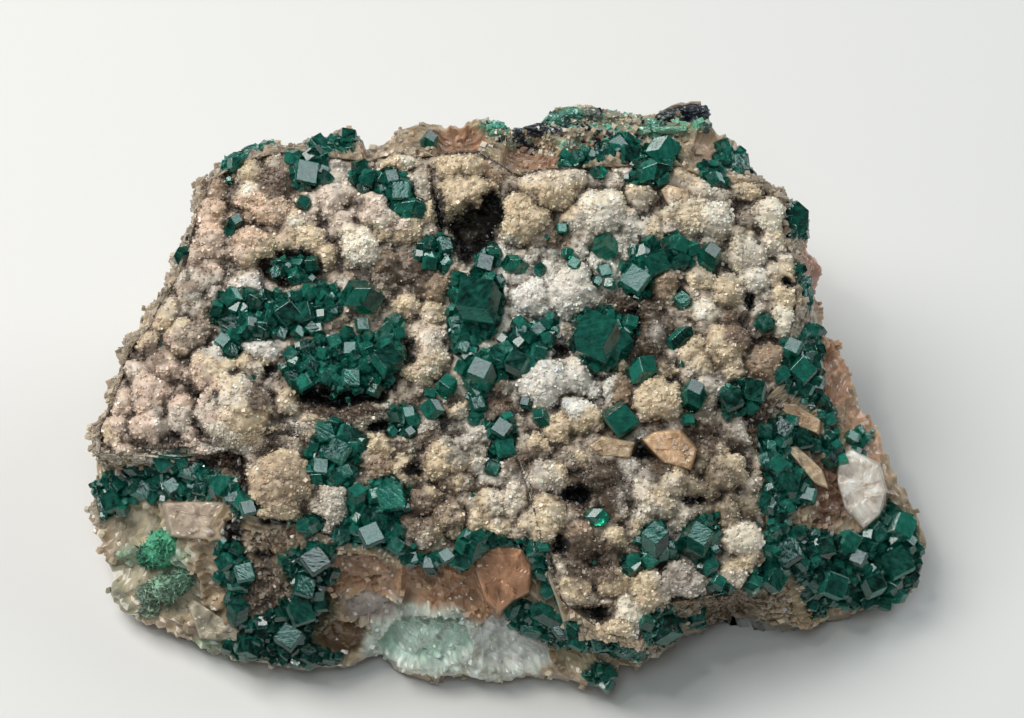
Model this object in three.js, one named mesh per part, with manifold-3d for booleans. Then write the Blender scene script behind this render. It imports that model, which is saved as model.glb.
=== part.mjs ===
// Dioptase specimen: green dioptase crystals on a pale druse crust, over a block of pink and white calcite.
// Millimetres, +Z up, the flat broken underside on Z = 0. The specimen is shown from the front and above.
import * as THREE from 'three';
import { ConvexGeometry } from 'three/addons/geometries/ConvexGeometry.js';
import { mergeVertices } from 'three/addons/utils/BufferGeometryUtils.js';
import Module from 'manifold-3d';

const wasm = await Module();
wasm.setup();
const { Manifold, Mesh } = wasm;

// Overall sizes
const WIDTH = 150;
const WIDTH_IN_PIXELS = 833;
const MM_PER_PIXEL = WIDTH / WIDTH_IN_PIXELS;
const MIDDLE_POINT = [1.04, -2.03, 41];
const CRUST_SLOPE = 20;
const CRUST_THICKNESS = 5;
const GAP = 0.35;
const BED_GAP = 0.7;
const GROUND_DEPTH = 30;

// The line of sight that the picked places are read along
const SIGHT_ELEVATION = 55;
const SIGHT_DISTANCE = 650;
const MIDDLE = [512, 359];
const RADIAL_CENTRE = [500, 390];

// Shape of the block below the crust
const DIRECTIONS = 48;
const FRONT_WAIST = 5;
const FOOT_INSET = 6;
const BACK_FOOT_INSET = 4;
const RIM_DROP = 2.5;
const SIDE_DROP = 7;
const WALL_ROUGHNESS = 0.7;
const LEDGE = 1.6;
const LEDGE_DROP = 18;
const LEDGE_START = 0.3;
const LEDGE_RUN = 0.7;
const LEDGE_SHARES = [0.2, 0.45, 0.7];
const FLOOR_SHARES = [0.45, 0.9];
const SHOULDER_SHARE = 0.985;
const SHOULDER_STEP = 2;
const SHOULDER_DROP = 1.8;
const WALL_MIDDLE = 0.5;
const WALL_BULGE = 0.3;

// In the picture: how far to the side the wall hangs lowest, and the rows between which it turns to the front
const SIDE_REACH = 400;
const FRONT_STARTS = 440;
const FRONT_FULL = 620;

// Rings of the crust's sheet: the share of the way to its edge, and the height over its sloping plane
const CRUST_RINGS = [[0.4, 0], [0.75, 0], [0.96, -0.6], [1, -2.2], [0.96, -6.4], [0.5, -6.4]];
const CRUST_FLOOR = -6.4;

// Dioptase: rhombohedron faces lean this steeply to the long axis of the six-sided prism
const RHOMB_SLOPE = 1.233;
const LEAST_HALF_LENGTH = 0.93;

const NEARLY_ZERO = 1e-9;
const radians = THREE.MathUtils.degToRad;
const sightUp = new THREE.Vector3(0, Math.sin(radians(SIGHT_ELEVATION)), Math.cos(radians(SIGHT_ELEVATION)));
const sightOut = new THREE.Vector3(0, -sightUp.z, sightUp.y);
const CRUST_FALL = 1 / Math.tan(radians(SIGHT_ELEVATION + CRUST_SLOPE));

// Outline of the whole specimen, clockwise from the left
const OUTLINE = [
  [187, 240], [196, 218], [196, 195], [203, 180], [219, 170], [240, 155], [262, 144], [274, 141], [290, 150],
  [308, 141], [320, 136], [336, 132], [351, 129], [358, 140], [375, 143], [395, 133], [418, 123], [440, 127],
  [460, 127], [484, 121], [512, 131], [535, 128], [550, 115], [577, 105], [605, 110], [640, 116], [668, 108],
  [700, 102], [709, 120], [730, 136], [749, 162], [767, 186], [788, 201], [803, 211], [808, 233], [818, 258],
  [820, 275], [811, 300], [819, 335], [841, 358], [853, 390], [869, 420], [884, 450], [897, 480], [918, 518],
  [925, 543], [921, 572], [905, 597], [884, 603], [850, 611], [827, 617], [815, 628], [785, 621], [754, 610],
  [725, 618], [706, 627], [676, 640], [650, 655], [619, 663], [604, 690], [567, 677], [540, 673], [502, 677],
  [463, 673], [408, 673], [383, 652], [345, 664], [292, 666], [252, 659], [217, 646], [190, 636], [152, 626],
  [117, 605], [110, 580], [98, 547], [88, 510], [98, 470], [92, 428], [110, 410], [113, 382], [124, 350],
  [145, 325], [158, 302], [175, 270],
];

// Edge of the druse crust, clockwise from the left
const CRUST_EDGE = [
  [98, 455], [96, 428], [112, 400], [126, 350], [148, 325], [162, 300], [177, 270], [187, 240], [198, 205],
  [212, 177], [240, 160], [280, 150], [330, 156], [365, 160], [395, 152], [420, 156], [445, 153], [480, 152],
  [520, 175], [545, 168], [590, 167], [630, 165], [680, 165], [720, 183], [757, 182], [785, 202], [786, 240],
  [800, 262], [798, 310], [788, 345], [780, 385], [745, 420], [765, 460], [766, 510], [767, 545], [745, 590],
  [700, 600], [660, 605], [640, 643], [605, 635], [560, 600], [555, 560], [530, 545], [500, 540], [455, 560],
  [410, 550], [340, 540], [300, 525], [250, 515], [245, 480], [240, 455],
];

// Relief of the crust above its sloping plane, in millimetres, on a coarse net of columns and rows
const RELIEF_COLUMNS = [100, 250, 400, 550, 700, 850];
const RELIEF_ROWS = [150, 270, 390, 510, 620];
const RELIEF = [
  [-7, -1, 0, 0, -1, -5],
  [-6, 0, -1, 1, 0, -5],
  [-6, 1, 0, 1, 1, -5],
  [-7, -1, 0, 1, 0, -7],
  [-9, -4, -3, -2, -4, -9],
];

// Druse balls: place and radius in millimetres
const DRUSE_BALLS = [
  [268, 206, 3.2], [253, 245, 3.6], [360, 248, 3.6], [330, 200, 3.2], [380, 212, 4.0], [408, 155, 3.0],
  [462, 165, 4.0], [465, 200, 4.5], [553, 186, 5.2], [522, 220, 4.5], [600, 215, 4.7], [715, 225, 3.6],
  [770, 216, 3.6], [425, 362, 4.1], [570, 292, 4.7], [535, 300, 3.6], [725, 290, 3.2], [745, 256, 3.2],
  [725, 345, 4.0], [765, 366, 3.2], [545, 385, 4.7], [575, 376, 3.2], [580, 415, 3.2], [655, 402, 3.8],
  [165, 315, 3.2], [185, 340, 3.2], [165, 366, 3.2], [215, 370, 4.3], [235, 412, 6.2], [150, 397, 3.4],
  [150, 427, 3.2], [187, 418, 3.2], [280, 487, 6.1], [330, 510, 4.0], [445, 462, 4.0], [430, 500, 3.6],
  [490, 505, 3.0], [450, 522, 3.0], [545, 476, 3.1], [545, 520, 3.8], [600, 480, 3.0], [660, 495, 4.9],
  [580, 540, 3.1], [650, 590, 3.6], [725, 476, 3.6], [742, 542, 3.6],
];
const BALL_SINK = 0.35;
const FINE_BALL = 4.4;
const HOLLOW_SPREAD = 1.1;
const HOLLOW_LIFT = 0.5;

// Dark hollows in the crust: place, half width, half height and depth in millimetres
const HOLLOWS = [
  [283, 276, 4.0, 2.2, 4], [465, 247, 3.4, 4.0, 4.5], [335, 396, 7.0, 1.9, 5], [230, 463, 3.8, 2.1, 3],
  [262, 528, 4.4, 2.2, 4], [573, 497, 2.6, 2.0, 3.5], [590, 612, 4.5, 1.9, 4], [380, 427, 1.8, 1.5, 3],
  [560, 345, 1.8, 1.8, 3], [440, 211, 1.2, 4.2, 3],
];

// Dioptase groups: every crystal is a place, its width and length in millimetres, then three angles: the long
// axis round the line of sight, its lean towards the eye, and the turn about itself.
const DIOPTASE = {
  dioptase_back_left: [
    [308, 172, 6.4, 6.6, 35, 39, 0], [317, 143, 4.0, 4.4, 70, 20, 20],
    [347, 139, 4.3, 4.8, 110, 15, 40],
  ],
  dioptase_upper_row: [
    [392, 176, 3.6, 4.0, 60, 40, 0], [400, 191, 5.2, 5.4, 130, 39, 10],
    [408, 207, 3.6, 6.8, 8, 20, 30],
  ],
  dioptase_upright: [[429, 142, 3.4, 4.7, 90, 15, 30]],
  dioptase_left_field: [
    [233, 298, 4.2, 5.2, 170, 25, 0], [228, 324, 4.3, 4.6, 60, 39, 5],
    [288, 312, 5.8, 6.0, 75, 45, 10], [303, 314, 4.8, 5.6, 140, 30, 20],
  ],
  dioptase_lying_prism: [[362, 297, 6.1, 8.8, 0, 14, 30]],
  dioptase_striped: [[362, 325, 3.6, 4.0, 50, 30, 0]],
  dioptase_lower_field: [
    [292, 376, 3.4, 3.8, 60, 39, 5], [304, 384, 4.0, 4.4, 150, 30, 25],
    [334, 342, 3.6, 4.0, 70, 25, 0], [350, 349, 3.6, 4.0, 130, 35, 10],
    [386, 362, 6.5, 8.0, 75, 20, 10], [352, 377, 4.8, 5.0, 45, 39, 0],
  ],
  dioptase_pointed: [[477, 303, 9.6, 12.2, 118, 24, 12], [485, 262, 4.7, 5.0, 30, 39, 0]],
  dioptase_lying_small: [[515, 265, 3.8, 5.6, 0, 15, 30]],
  dioptase_end_on: [[605, 247, 5.2, 4.8, 80, 84, 0]],
  dioptase_bright_block: [
    [635, 279, 6.6, 7.2, 100, 39, 0], [656, 262, 5.8, 6.4, 60, 39, 15],
    [677, 244, 4.4, 5.6, 10, 20, 20], [681, 261, 3.6, 4.2, 80, 30, 30],
  ],
  dioptase_upright_right: [[709, 257, 4.3, 6.2, 85, 20, 30]],
  dioptase_great_crystal: [
    [591, 338, 8.6, 12.6, 95, 20, 18], [615, 338, 6.0, 9.6, 80, 15, 34],
    [630, 322, 3.4, 4.2, 30, 30, 0],
  ],
  dioptase_middle_row: [
    [520, 332, 3.6, 4.2, 40, 35, 0], [538, 329, 3.4, 3.8, 80, 39, 0], [505, 349, 3.4, 4.4, 70, 39, 5],
    [516, 364, 5.4, 6.8, 100, 30, 10], [538, 352, 4.0, 4.4, 20, 35, 20],
  ],
  dioptase_prism: [[482, 374, 5.6, 8.4, 110, 34, 0], [477, 404, 3.6, 4.2, 60, 30, 0]],
  dioptase_pair: [[433, 409, 4.2, 5.6, 170, 25, 0], [446, 386, 4.0, 5.2, 85, 15, 20]],
  dioptase_stacked: [
    [502, 428, 4.7, 5.2, 100, 35, 0], [504, 448, 4.7, 5.2, 50, 25, 10],
    [493, 468, 3.4, 3.8, 20, 39, 0],
  ],
  dioptase_broad: [[620, 419, 7.2, 7.6, 75, 39, 12]],
  dioptase_right_small: [[765, 323, 4.0, 4.6, 70, 35, 0]],
  dioptase_tilted_short: [[680, 338, 3.2, 6.2, 45, 15, 30]],
  dioptase_tilted_long: [[641, 370, 4.8, 7.4, 50, 20, 10]],
  dioptase_striated: [[693, 396, 4.5, 6.8, 95, 15, 30]],
  dioptase_back_rim: [
    [577, 156, 3.4, 3.8, 60, 30, 0], [618, 145, 4.3, 4.8, 80, 35, 0], [629, 154, 4.7, 5.2, 30, 30, 20],
  ],
  dioptase_back_peak: [[662, 150, 5.6, 8.0, 8, 25, 0], [652, 172, 4.7, 7.4, 20, 20, 30]],
  dioptase_back_right: [[740, 163, 5.0, 5.6, 50, 39, 0]],
  dioptase_back_leaf: [[716, 180, 3.4, 4.6, 160, 25, 0]],
  dioptase_right_rim: [[797, 222, 4.6, 8.0, 88, 18, 0]],
  dioptase_right_steps: [
    [808, 332, 4.0, 4.6, 60, 35, 0], [793, 347, 4.3, 4.8, 110, 30, 0],
    [800, 370, 6.1, 6.6, 80, 39, 20],
  ],
  dioptase_dark_pair: [[731, 400, 5.4, 6.0, 70, 30, 0], [753, 392, 5.4, 6.2, 110, 25, 20]],
  dioptase_right_ladder: [
    [765, 430, 3.6, 4.2, 40, 39, 0], [782, 428, 4.7, 5.0, 100, 35, 0], [803, 440, 4.7, 5.2, 60, 30, 0],
    [776, 465, 4.7, 5.4, 80, 35, 10], [790, 481, 5.0, 5.4, 30, 35, 0],
    [808, 495, 4.0, 4.6, 120, 30, 0], [786, 508, 4.0, 4.4, 70, 30, 0],
  ],
  dioptase_left_band: [
    [165, 462, 4.6, 5.2, 170, 30, 0], [112, 502, 4.8, 5.6, 160, 30, 0],
    [142, 490, 4.2, 5.6, 20, 35, 0], [172, 486, 4.0, 4.4, 80, 35, 0], [190, 470, 4.8, 5.4, 30, 30, 0],
    [201, 487, 4.0, 4.4, 120, 39, 0], [225, 487, 4.4, 6.2, 175, 25, 10],
    [248, 508, 4.0, 4.4, 60, 30, 0],
  ],
  dioptase_mid_left_nest: [
    [326, 432, 4.7, 5.0, 60, 39, 0], [346, 433, 4.0, 4.6, 20, 30, 0],
    [337, 451, 6.1, 6.6, 100, 35, 10], [320, 466, 4.3, 4.8, 40, 35, 0],
    [345, 472, 3.8, 4.2, 70, 39, 0],
  ],
  dioptase_bright_square: [
    [356, 500, 3.8, 7.2, 80, 20, 0], [392, 497, 7.0, 7.4, 55, 39, 0], [377, 521, 3.8, 4.2, 20, 30, 0],
  ],
  dioptase_lower_left: [
    [316, 560, 6.5, 7.0, 80, 35, 0], [305, 586, 5.4, 6.0, 30, 35, 0], [300, 612, 6.5, 7.0, 60, 30, 10],
    [289, 636, 6.3, 6.8, 100, 35, 0], [308, 655, 4.3, 4.8, 20, 20, 0],
    [248, 646, 4.6, 6.4, 10, 20, 20], [238, 612, 4.6, 7.2, 80, 20, 0],
  ],
  dioptase_small_left: [[245, 572, 5.0, 5.4, 60, 35, 0], [226, 562, 4.0, 4.8, 170, 20, 0]],
  dioptase_front_band: [
    [340, 535, 3.4, 3.8, 30, 39, 0], [371, 535, 5.8, 6.2, 70, 30, 0], [396, 545, 3.8, 4.2, 10, 35, 0],
  ],
  dioptase_front_tooth: [
    [476, 546, 3.6, 7.4, 72, 20, 0], [460, 562, 3.6, 4.0, 30, 30, 0], [446, 556, 3.6, 4.0, 80, 30, 0],
  ],
  dioptase_front_right: [
    [547, 615, 3.9, 8.0, 150, 20, 0], [530, 627, 3.4, 3.8, 40, 30, 0], [561, 630, 4.0, 4.4, 80, 35, 0],
    [577, 641, 4.2, 4.8, 20, 30, 0], [600, 643, 4.4, 4.8, 60, 35, 0], [624, 650, 4.0, 4.6, 100, 25, 0],
  ],
  dioptase_hub: [
    [655, 540, 5.6, 8.0, 92, 25, 0], [633, 562, 3.8, 4.2, 30, 35, 0], [650, 560, 3.8, 4.2, 80, 39, 0],
  ],
  dioptase_hub_right: [[695, 541, 6.2, 8.0, 88, 20, 30]],
  dioptase_front_foot: [[664, 628, 6.6, 8.6, 165, 30, 0], [696, 616, 4.0, 4.4, 60, 30, 0]],
  dioptase_right_mass: [
    [788, 552, 6.4, 7.2, 165, 30, 0], [772, 580, 5.2, 6.6, 10, 25, 0], [825, 547, 4.7, 5.4, 60, 35, 0],
    [848, 541, 4.8, 6.4, 15, 35, 0], [832, 584, 6.6, 7.4, 20, 30, 10], [806, 594, 3.6, 4.0, 80, 35, 0],
    [858, 558, 4.3, 4.8, 110, 30, 0],
  ],
  dioptase_right_corner: [
    [897, 562, 7.4, 8.0, 75, 39, 0], [872, 584, 5.2, 7.0, 60, 39, 15], [899, 527, 6.2, 7.4, 20, 20, 0],
    [878, 536, 3.8, 4.2, 80, 30, 0],
  ],
};
// Small dioptase crystals that are part of the crust itself, in the same form
const CRUST_DIOPTASE = [
  [303, 203, 3.2, 3.6, 100, 30, 15], [232, 227, 3.0, 5.8, 68, 14, 24],
  [181, 256, 2.9, 4.5, 60, 10, 10], [445, 246, 3.6, 4.2, 60, 30, 0], [232, 350, 2.9, 3.8, 20, 30, 0],
  [574, 263, 3.0, 3.4, 100, 39, 0], [456, 322, 3.4, 3.8, 60, 39, 0], [463, 346, 3.2, 3.8, 20, 39, 0],
  [400, 418, 3.2, 3.6, 30, 39, 0], [541, 419, 3.0, 4.9, 130, 20, 20], [597, 517, 3.6, 5.2, 0, 20, 0],
  [682, 300, 3.4, 4.4, 90, 40, 0],
];
const CRYSTAL_LIFT = 0.18;
const CRUMB_VOLUME = 30;

// Facets smaller than this are smoothed away
const FINE_DETAIL = 0.02;
const CRUST_DETAIL = 0.14;

// Calcite cleavage blocks: corners of the face turned to the eye, how far it stands out, and its depth
const CALCITE_BLOCKS = {
  calcite_wedge: { corners: [[165, 503], [245, 500], [212, 540], [172, 536]], out: 1.6, depth: 8 },
  calcite_lower_wedge: {
    corners: [[190, 608], [195, 600], [246, 634], [238, 642], [200, 638]],
    out: 1.4, depth: 7,
  },
  calcite_orange_block: {
    corners: [
      [478, 552], [500, 545], [522, 550], [532, 568], [529, 592],
      [513, 600], [499, 612], [486, 600], [475, 568],
    ],
    out: 2.4, depth: 9,
  },
  calcite_white_crystal: {
    corners: [[838, 458], [852, 450], [878, 466], [885, 490], [879, 514], [864, 528], [846, 510], [838, 484]],
    out: 2.8, depth: 9,
  },
  calcite_lens: {
    corners: [[786, 448], [797, 446], [822, 470], [828, 488], [815, 484]],
    out: 2.2, depth: 7,
  },
  calcite_tan_slab: {
    corners: [[772, 401], [795, 404], [820, 420], [818, 434], [800, 427]],
    out: 2.0, depth: 7,
  },
  calcite_middle_flat: {
    corners: [[588, 446], [602, 436], [635, 442], [630, 458], [602, 456]],
    out: 1.8, depth: 5,
  },
  calcite_middle_cone: {
    corners: [[642, 440], [656, 432], [680, 430], [697, 450], [690, 470], [664, 463]],
    out: 2.4, depth: 6,
  },
  calcite_back_block: {
    corners: [[661, 190], [668, 185], [688, 190], [690, 200], [680, 206], [667, 203]],
    out: 1.8, depth: 6,
  },
};
const BLOCK_TAPER = 1.25;
const FACE_TILT = 0.5;
const BLOCK_HALF_THICKNESS = 1.2;

// Crystals and lumps of calcite that belong to the block itself
const BASE_BLOCKS = [
  { corners: [[362, 158], [368, 144], [396, 136], [402, 150], [390, 160]], out: 0.8, depth: 8 },
  { corners: [[438, 152], [444, 130], [462, 129], [482, 134], [478, 152]], out: 1.2, depth: 8 },
  { corners: [[502, 168], [510, 140], [535, 136], [560, 142], [556, 166]], out: 1.5, depth: 9 },
  { corners: [[562, 150], [580, 134], [602, 138], [600, 152]], out: 1.0, depth: 8 },
  { corners: [[632, 142], [645, 128], [668, 126], [690, 132], [688, 144]], out: 0.8, depth: 8 },
  { corners: [[692, 160], [698, 132], [722, 136], [738, 150], [735, 158]], out: 1.0, depth: 8 },
  { corners: [[822, 398], [820, 350], [838, 358], [850, 390], [845, 405]], out: 1.2, depth: 9 },
  { corners: [[842, 430], [848, 392], [866, 420], [880, 446], [870, 452]], out: 1.0, depth: 9 },
  { corners: [[330, 552], [372, 556], [400, 572], [392, 596], [345, 590]], out: 1.0, depth: 8 },
  { corners: [[402, 572], [440, 568], [476, 580], [480, 604], [430, 612], [404, 600]], out: 1.6, depth: 8 },
  { corners: [[340, 600], [372, 592], [400, 604], [392, 624], [350, 622]], out: 1.2, depth: 8 },
  { corners: [[318, 640], [335, 618], [368, 630], [366, 652], [340, 656]], out: 0.6, depth: 8 },
  { corners: [[380, 640], [400, 618], [462, 622], [470, 648], [440, 668], [396, 662]], out: 1.2, depth: 9 },
  { corners: [[472, 630], [500, 618], [545, 644], [548, 664], [505, 670], [476, 662]], out: 1.4, depth: 9 },
  { corners: [[550, 650], [578, 652], [606, 660], [600, 676], [566, 668]], out: 0.8, depth: 8 },
  { corners: [[112, 520], [140, 506], [160, 520], [150, 545], [112, 550]], out: 1.2, depth: 8 },
  { corners: [[112, 562], [150, 560], [196, 575], [200, 612], [150, 618], [118, 600]], out: 1.0, depth: 9 },
  { corners: [[700, 585], [740, 588], [760, 606], [740, 614], [700, 612]], out: 0.6, depth: 6 },
];

// Dark ore along the back rim: place and radius
const ORE_LUMPS = [
  [668, 118, 2.6], [686, 112, 3.0], [700, 114, 2.6], [702, 126, 2.4], [650, 124, 2.2], [630, 124, 2.4],
  [608, 120, 2.6], [590, 117, 2.7], [572, 117, 2.8], [556, 124, 2.6], [538, 134, 2.4],
];

const LUMP_SINK = 0.2;

const MALACHITE_BALL = { place: [165, 548], radius: 3.9, out: 1.2, sink: 0.4 };

const MATERIALS = {
  calcite: new THREE.MeshStandardMaterial({ name: 'calcite', color: 0xc39a7c, roughness: 0.5 }),
  druse: new THREE.MeshStandardMaterial({ name: 'druse', color: 0xcdbba0, roughness: 0.7 }),
  ore: new THREE.MeshStandardMaterial({ name: 'ore', color: 0x2d3246, roughness: 0.4 }),
  malachite: new THREE.MeshStandardMaterial({ name: 'malachite', color: 0x46a07c, roughness: 0.8 }),
  dioptase: new THREE.MeshStandardMaterial({ name: 'dioptase', color: 0x0a5a48, roughness: 0.15 }),
};

// A repeatable number from -1 to 1 for a whole number
function wander(index) {
  const value = Math.sin(index * 12.9898 + 4.1) * 43758.5453;
  return 2 * (value - Math.floor(value)) - 1;
}

// The point on the line of sight through a picture place, at a height above the middle plane
function sighted([x, y], height) {
  const shrink = (1 - height / SIGHT_DISTANCE) * MM_PER_PIXEL;
  return new THREE.Vector3(...MIDDLE_POINT)
    .add(new THREE.Vector3((x - MIDDLE[0]) * shrink, 0, 0))
    .addScaledVector(sightUp, (MIDDLE[1] - y) * shrink)
    .addScaledVector(sightOut, height);
}

// The height above the middle plane at which the line of sight through a place meets a level
function heightAtLevel([, y], level) {
  const rise = (MIDDLE[1] - y) * MM_PER_PIXEL * sightUp.z;
  return (level - MIDDLE_POINT[2] - rise) / (sightOut.z - rise / SIGHT_DISTANCE);
}

// Distance from the radial centre to a closed outline in one direction
function reach(outline, direction) {
  const [dx, dy] = [Math.cos(direction), Math.sin(direction)];
  let furthest = 0;
  outline.forEach(([x0, y0], index) => {
    const [x1, y1] = outline[(index + 1) % outline.length];
    const [ax, ay, bx, by] = [x0 - RADIAL_CENTRE[0], y0 - RADIAL_CENTRE[1], x1 - x0, y1 - y0];
    const across = dx * by - dy * bx;
    if (Math.abs(across) < NEARLY_ZERO) return;
    const along = (ax * by - ay * bx) / across;
    const share = (ax * dy - ay * dx) / across;
    if (share >= -NEARLY_ZERO && share <= 1 + NEARLY_ZERO && along > furthest) furthest = along;
  });
  return furthest;
}

// Index of the net cell that holds a value, and the share of the way through it
function netCell(lines, value) {
  const last = lines.length - 2;
  const index = Math.min(last, Math.max(0, lines.findIndex((line) => value < line) - 1));
  const cell = value >= lines[last + 1] ? last : index;
  const share = (value - lines[cell]) / (lines[cell + 1] - lines[cell]);
  return [cell, Math.min(1, Math.max(0, share))];
}

// Height of the crust at a place: the sloping plane and the relief
function crustHeight([x, y]) {
  const [column, across] = netCell(RELIEF_COLUMNS, x);
  const [row, down] = netCell(RELIEF_ROWS, y);
  const mix = THREE.MathUtils.lerp;
  const relief = mix(
    mix(RELIEF[row][column], RELIEF[row][column + 1], across),
    mix(RELIEF[row + 1][column], RELIEF[row + 1][column + 1], across),
    down,
  );
  return relief - CRUST_FALL * (MIDDLE[1] - y) * MM_PER_PIXEL;
}

function placeAt(direction, distance) {
  const [x, y] = RADIAL_CENTRE;
  return [x + Math.cos(direction) * distance, y + Math.sin(direction) * distance];
}

// Level of the widest part of the wall: just below the rim at the back and sides, near the foot at the front
function waistLevel(place) {
  const rim = sighted(place, crustHeight(place)).z;
  const side = Math.min(1, Math.abs(place[0] - MIDDLE[0]) / SIDE_REACH);
  const frontness = THREE.MathUtils.smoothstep(place[1], FRONT_STARTS, FRONT_FULL);
  return THREE.MathUtils.lerp(rim - RIM_DROP - SIDE_DROP * side, FRONT_WAIST, frontness);
}

// Height of the specimen's surface at any place inside the outline
function skinHeight(place) {
  const [dx, dy] = [place[0] - RADIAL_CENTRE[0], place[1] - RADIAL_CENTRE[1]];
  const direction = Math.atan2(dy, dx);
  const distance = Math.hypot(dx, dy);
  const [edge, rim] = [reach(CRUST_EDGE, direction), reach(OUTLINE, direction)];
  if (distance <= edge) return crustHeight(place);
  const share = Math.min(1, (distance - edge) / Math.max(rim - edge, 1));
  const outer = placeAt(direction, rim);
  const [high, low] = [crustHeight(placeAt(direction, edge)), heightAtLevel(outer, waistLevel(outer))];
  return THREE.MathUtils.lerp(high, low, share);
}

function toSolid(geometry) {
  const bare = geometry.clone();
  bare.deleteAttribute('normal');
  bare.deleteAttribute('uv');
  const merged = mergeVertices(bare, 1e-5);
  return new Manifold(new Mesh({
    numProp: 3,
    vertProperties: new Float32Array(merged.attributes.position.array),
    triVerts: new Uint32Array(merged.index.array),
  }));
}

// A closed skin over rings of points, from a top middle point to a bottom middle point
function ringSolid(top, rings, bottom) {
  const count = rings[0].length;
  const points = [top, ...rings.flat(), bottom];
  const faces = [];
  for (let step = 0; step < count; step += 1) {
    const next = (step + 1) % count;
    faces.push(0, 1 + next, 1 + step);
    for (let ring = 0; ring < rings.length - 1; ring += 1) {
      const [upper, lower] = [1 + ring * count, 1 + (ring + 1) * count];
      faces.push(upper + step, upper + next, lower + next, upper + step, lower + next, lower + step);
    }
    const last = 1 + (rings.length - 1) * count;
    faces.push(points.length - 1, last + step, last + next);
  }
  const vertProperties = new Float32Array(points.flatMap((point) => point.toArray()));
  return new Manifold(new Mesh({ numProp: 3, vertProperties, triVerts: new Uint32Array(faces) }));
}

function largest(solid) {
  return solid.decompose().reduce((best, body) => (body.volume() > best.volume() ? body : best));
}

// The calcite block: a dish below the crust, a rim, a broken wall and a flat foot
function blockBody(grow) {
  const directions = Array.from({ length: DIRECTIONS }, (_, step) => (step / DIRECTIONS) * 2 * Math.PI);
  const floor = (share) => directions.map((direction) => {
    const place = placeAt(direction, reach(CRUST_EDGE, direction) * share);
    return sighted(place, crustHeight(place) - CRUST_THICKNESS + grow);
  });
  const shoulder = directions.map((direction, step) => {
    const place = placeAt(direction, reach(CRUST_EDGE, direction) * SHOULDER_SHARE + SHOULDER_STEP);
    return sighted(place, crustHeight(place) - SHOULDER_DROP + wander(step) * WALL_ROUGHNESS + grow);
  });
  const wall = (share, bulge) => directions.map((direction, step) => {
    const edge = reach(CRUST_EDGE, direction) * SHOULDER_SHARE + SHOULDER_STEP;
    const rim = reach(OUTLINE, direction);
    const place = placeAt(direction, edge + Math.max(rim - edge, SHOULDER_STEP) * share);
    const rough = wander(step * 7 + share * 50) * WALL_ROUGHNESS;
    const point = sighted(place, skinHeight(place) + bulge + rough + grow);
    return grownOutwards(point, grow);
  });
  const foot = directions.map((direction) => {
    const place = placeAt(direction, reach(OUTLINE, direction));
    const point = sighted(place, heightAtLevel(place, waistLevel(place)));
    return insetFoot(point, grow);
  });
  const waist = wall(1, 0);
  const ledge = (share) => waist.map((point, step) => brokenLedge(point, foot[step], share, step));
  const middle = sighted(RADIAL_CENTRE, crustHeight(RADIAL_CENTRE) - CRUST_THICKNESS + grow);
  const rings = [
    ...FLOOR_SHARES.map(floor), shoulder, wall(WALL_MIDDLE, WALL_BULGE),
    waist, ...LEDGE_SHARES.map(ledge), foot,
  ];
  return ringSolid(middle, rings, new THREE.Vector3(0, 0, -grow));
}

// A point part of the way down the broken wall, pushed in or out where the wall is tall
function brokenLedge(top, foot, share, step) {
  const away = new THREE.Vector3(top.x, top.y, 0).normalize();
  const tall = Math.min(1, (top.z - foot.z) / LEDGE_DROP - LEDGE_START);
  const push = Math.max(0, tall) * LEDGE * wander(Math.floor(step * LEDGE_RUN) + share * 100);
  return top.clone().lerp(foot, share).addScaledVector(away, push);
}

function grownOutwards(point, grow) {
  const away = new THREE.Vector3(point.x, point.y, 0).normalize();
  return point.clone().addScaledVector(away, grow);
}

function insetFoot(point, grow) {
  const away = new THREE.Vector3(point.x, point.y, 0).normalize();
  const inset = point.y < 0 ? FOOT_INSET : BACK_FOOT_INSET;
  const foot = point.clone().addScaledVector(away, grow - inset);
  return foot.setZ(-grow);
}

// The druse crust: a sloping sheet with balls on it
function crustBody() {
  const directions = Array.from({ length: DIRECTIONS }, (_, step) => (step / DIRECTIONS) * 2 * Math.PI);
  const ring = (share, lift) => directions.map((direction) => {
    const place = placeAt(direction, reach(CRUST_EDGE, direction) * share);
    return sighted(place, crustHeight(place) + lift);
  });
  const middle = crustHeight(RADIAL_CENTRE);
  const rings = CRUST_RINGS.map(([share, lift]) => ring(share, lift));
  const floor = sighted(RADIAL_CENTRE, middle + CRUST_FLOOR);
  const sheet = ringSolid(sighted(RADIAL_CENTRE, middle), rings, floor);
  const balls = DRUSE_BALLS.map(([x, y, radius]) => {
    const detail = radius >= FINE_BALL ? 1 : 0;
    const geometry = new THREE.IcosahedronGeometry(radius, detail);
    geometry.rotateZ(x).rotateX(y);
    const centre = sighted([x, y], crustHeight([x, y]) - radius * BALL_SINK);
    geometry.translate(...centre.toArray());
    return toSolid(geometry);
  });
  return Manifold.union([sheet, ...balls]);
}

function hollowSolid([x, y, halfWidth, halfHeight, depth]) {
  const geometry = new THREE.IcosahedronGeometry(1, 0);
  const sight = new THREE.Matrix4().makeBasis(new THREE.Vector3(1, 0, 0), sightUp, sightOut);
  geometry.scale(halfWidth * HOLLOW_SPREAD, halfHeight * HOLLOW_SPREAD, depth).applyMatrix4(sight);
  geometry.translate(...sighted([x, y], crustHeight([x, y]) + HOLLOW_LIFT).toArray());
  return toSolid(geometry);
}

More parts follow.
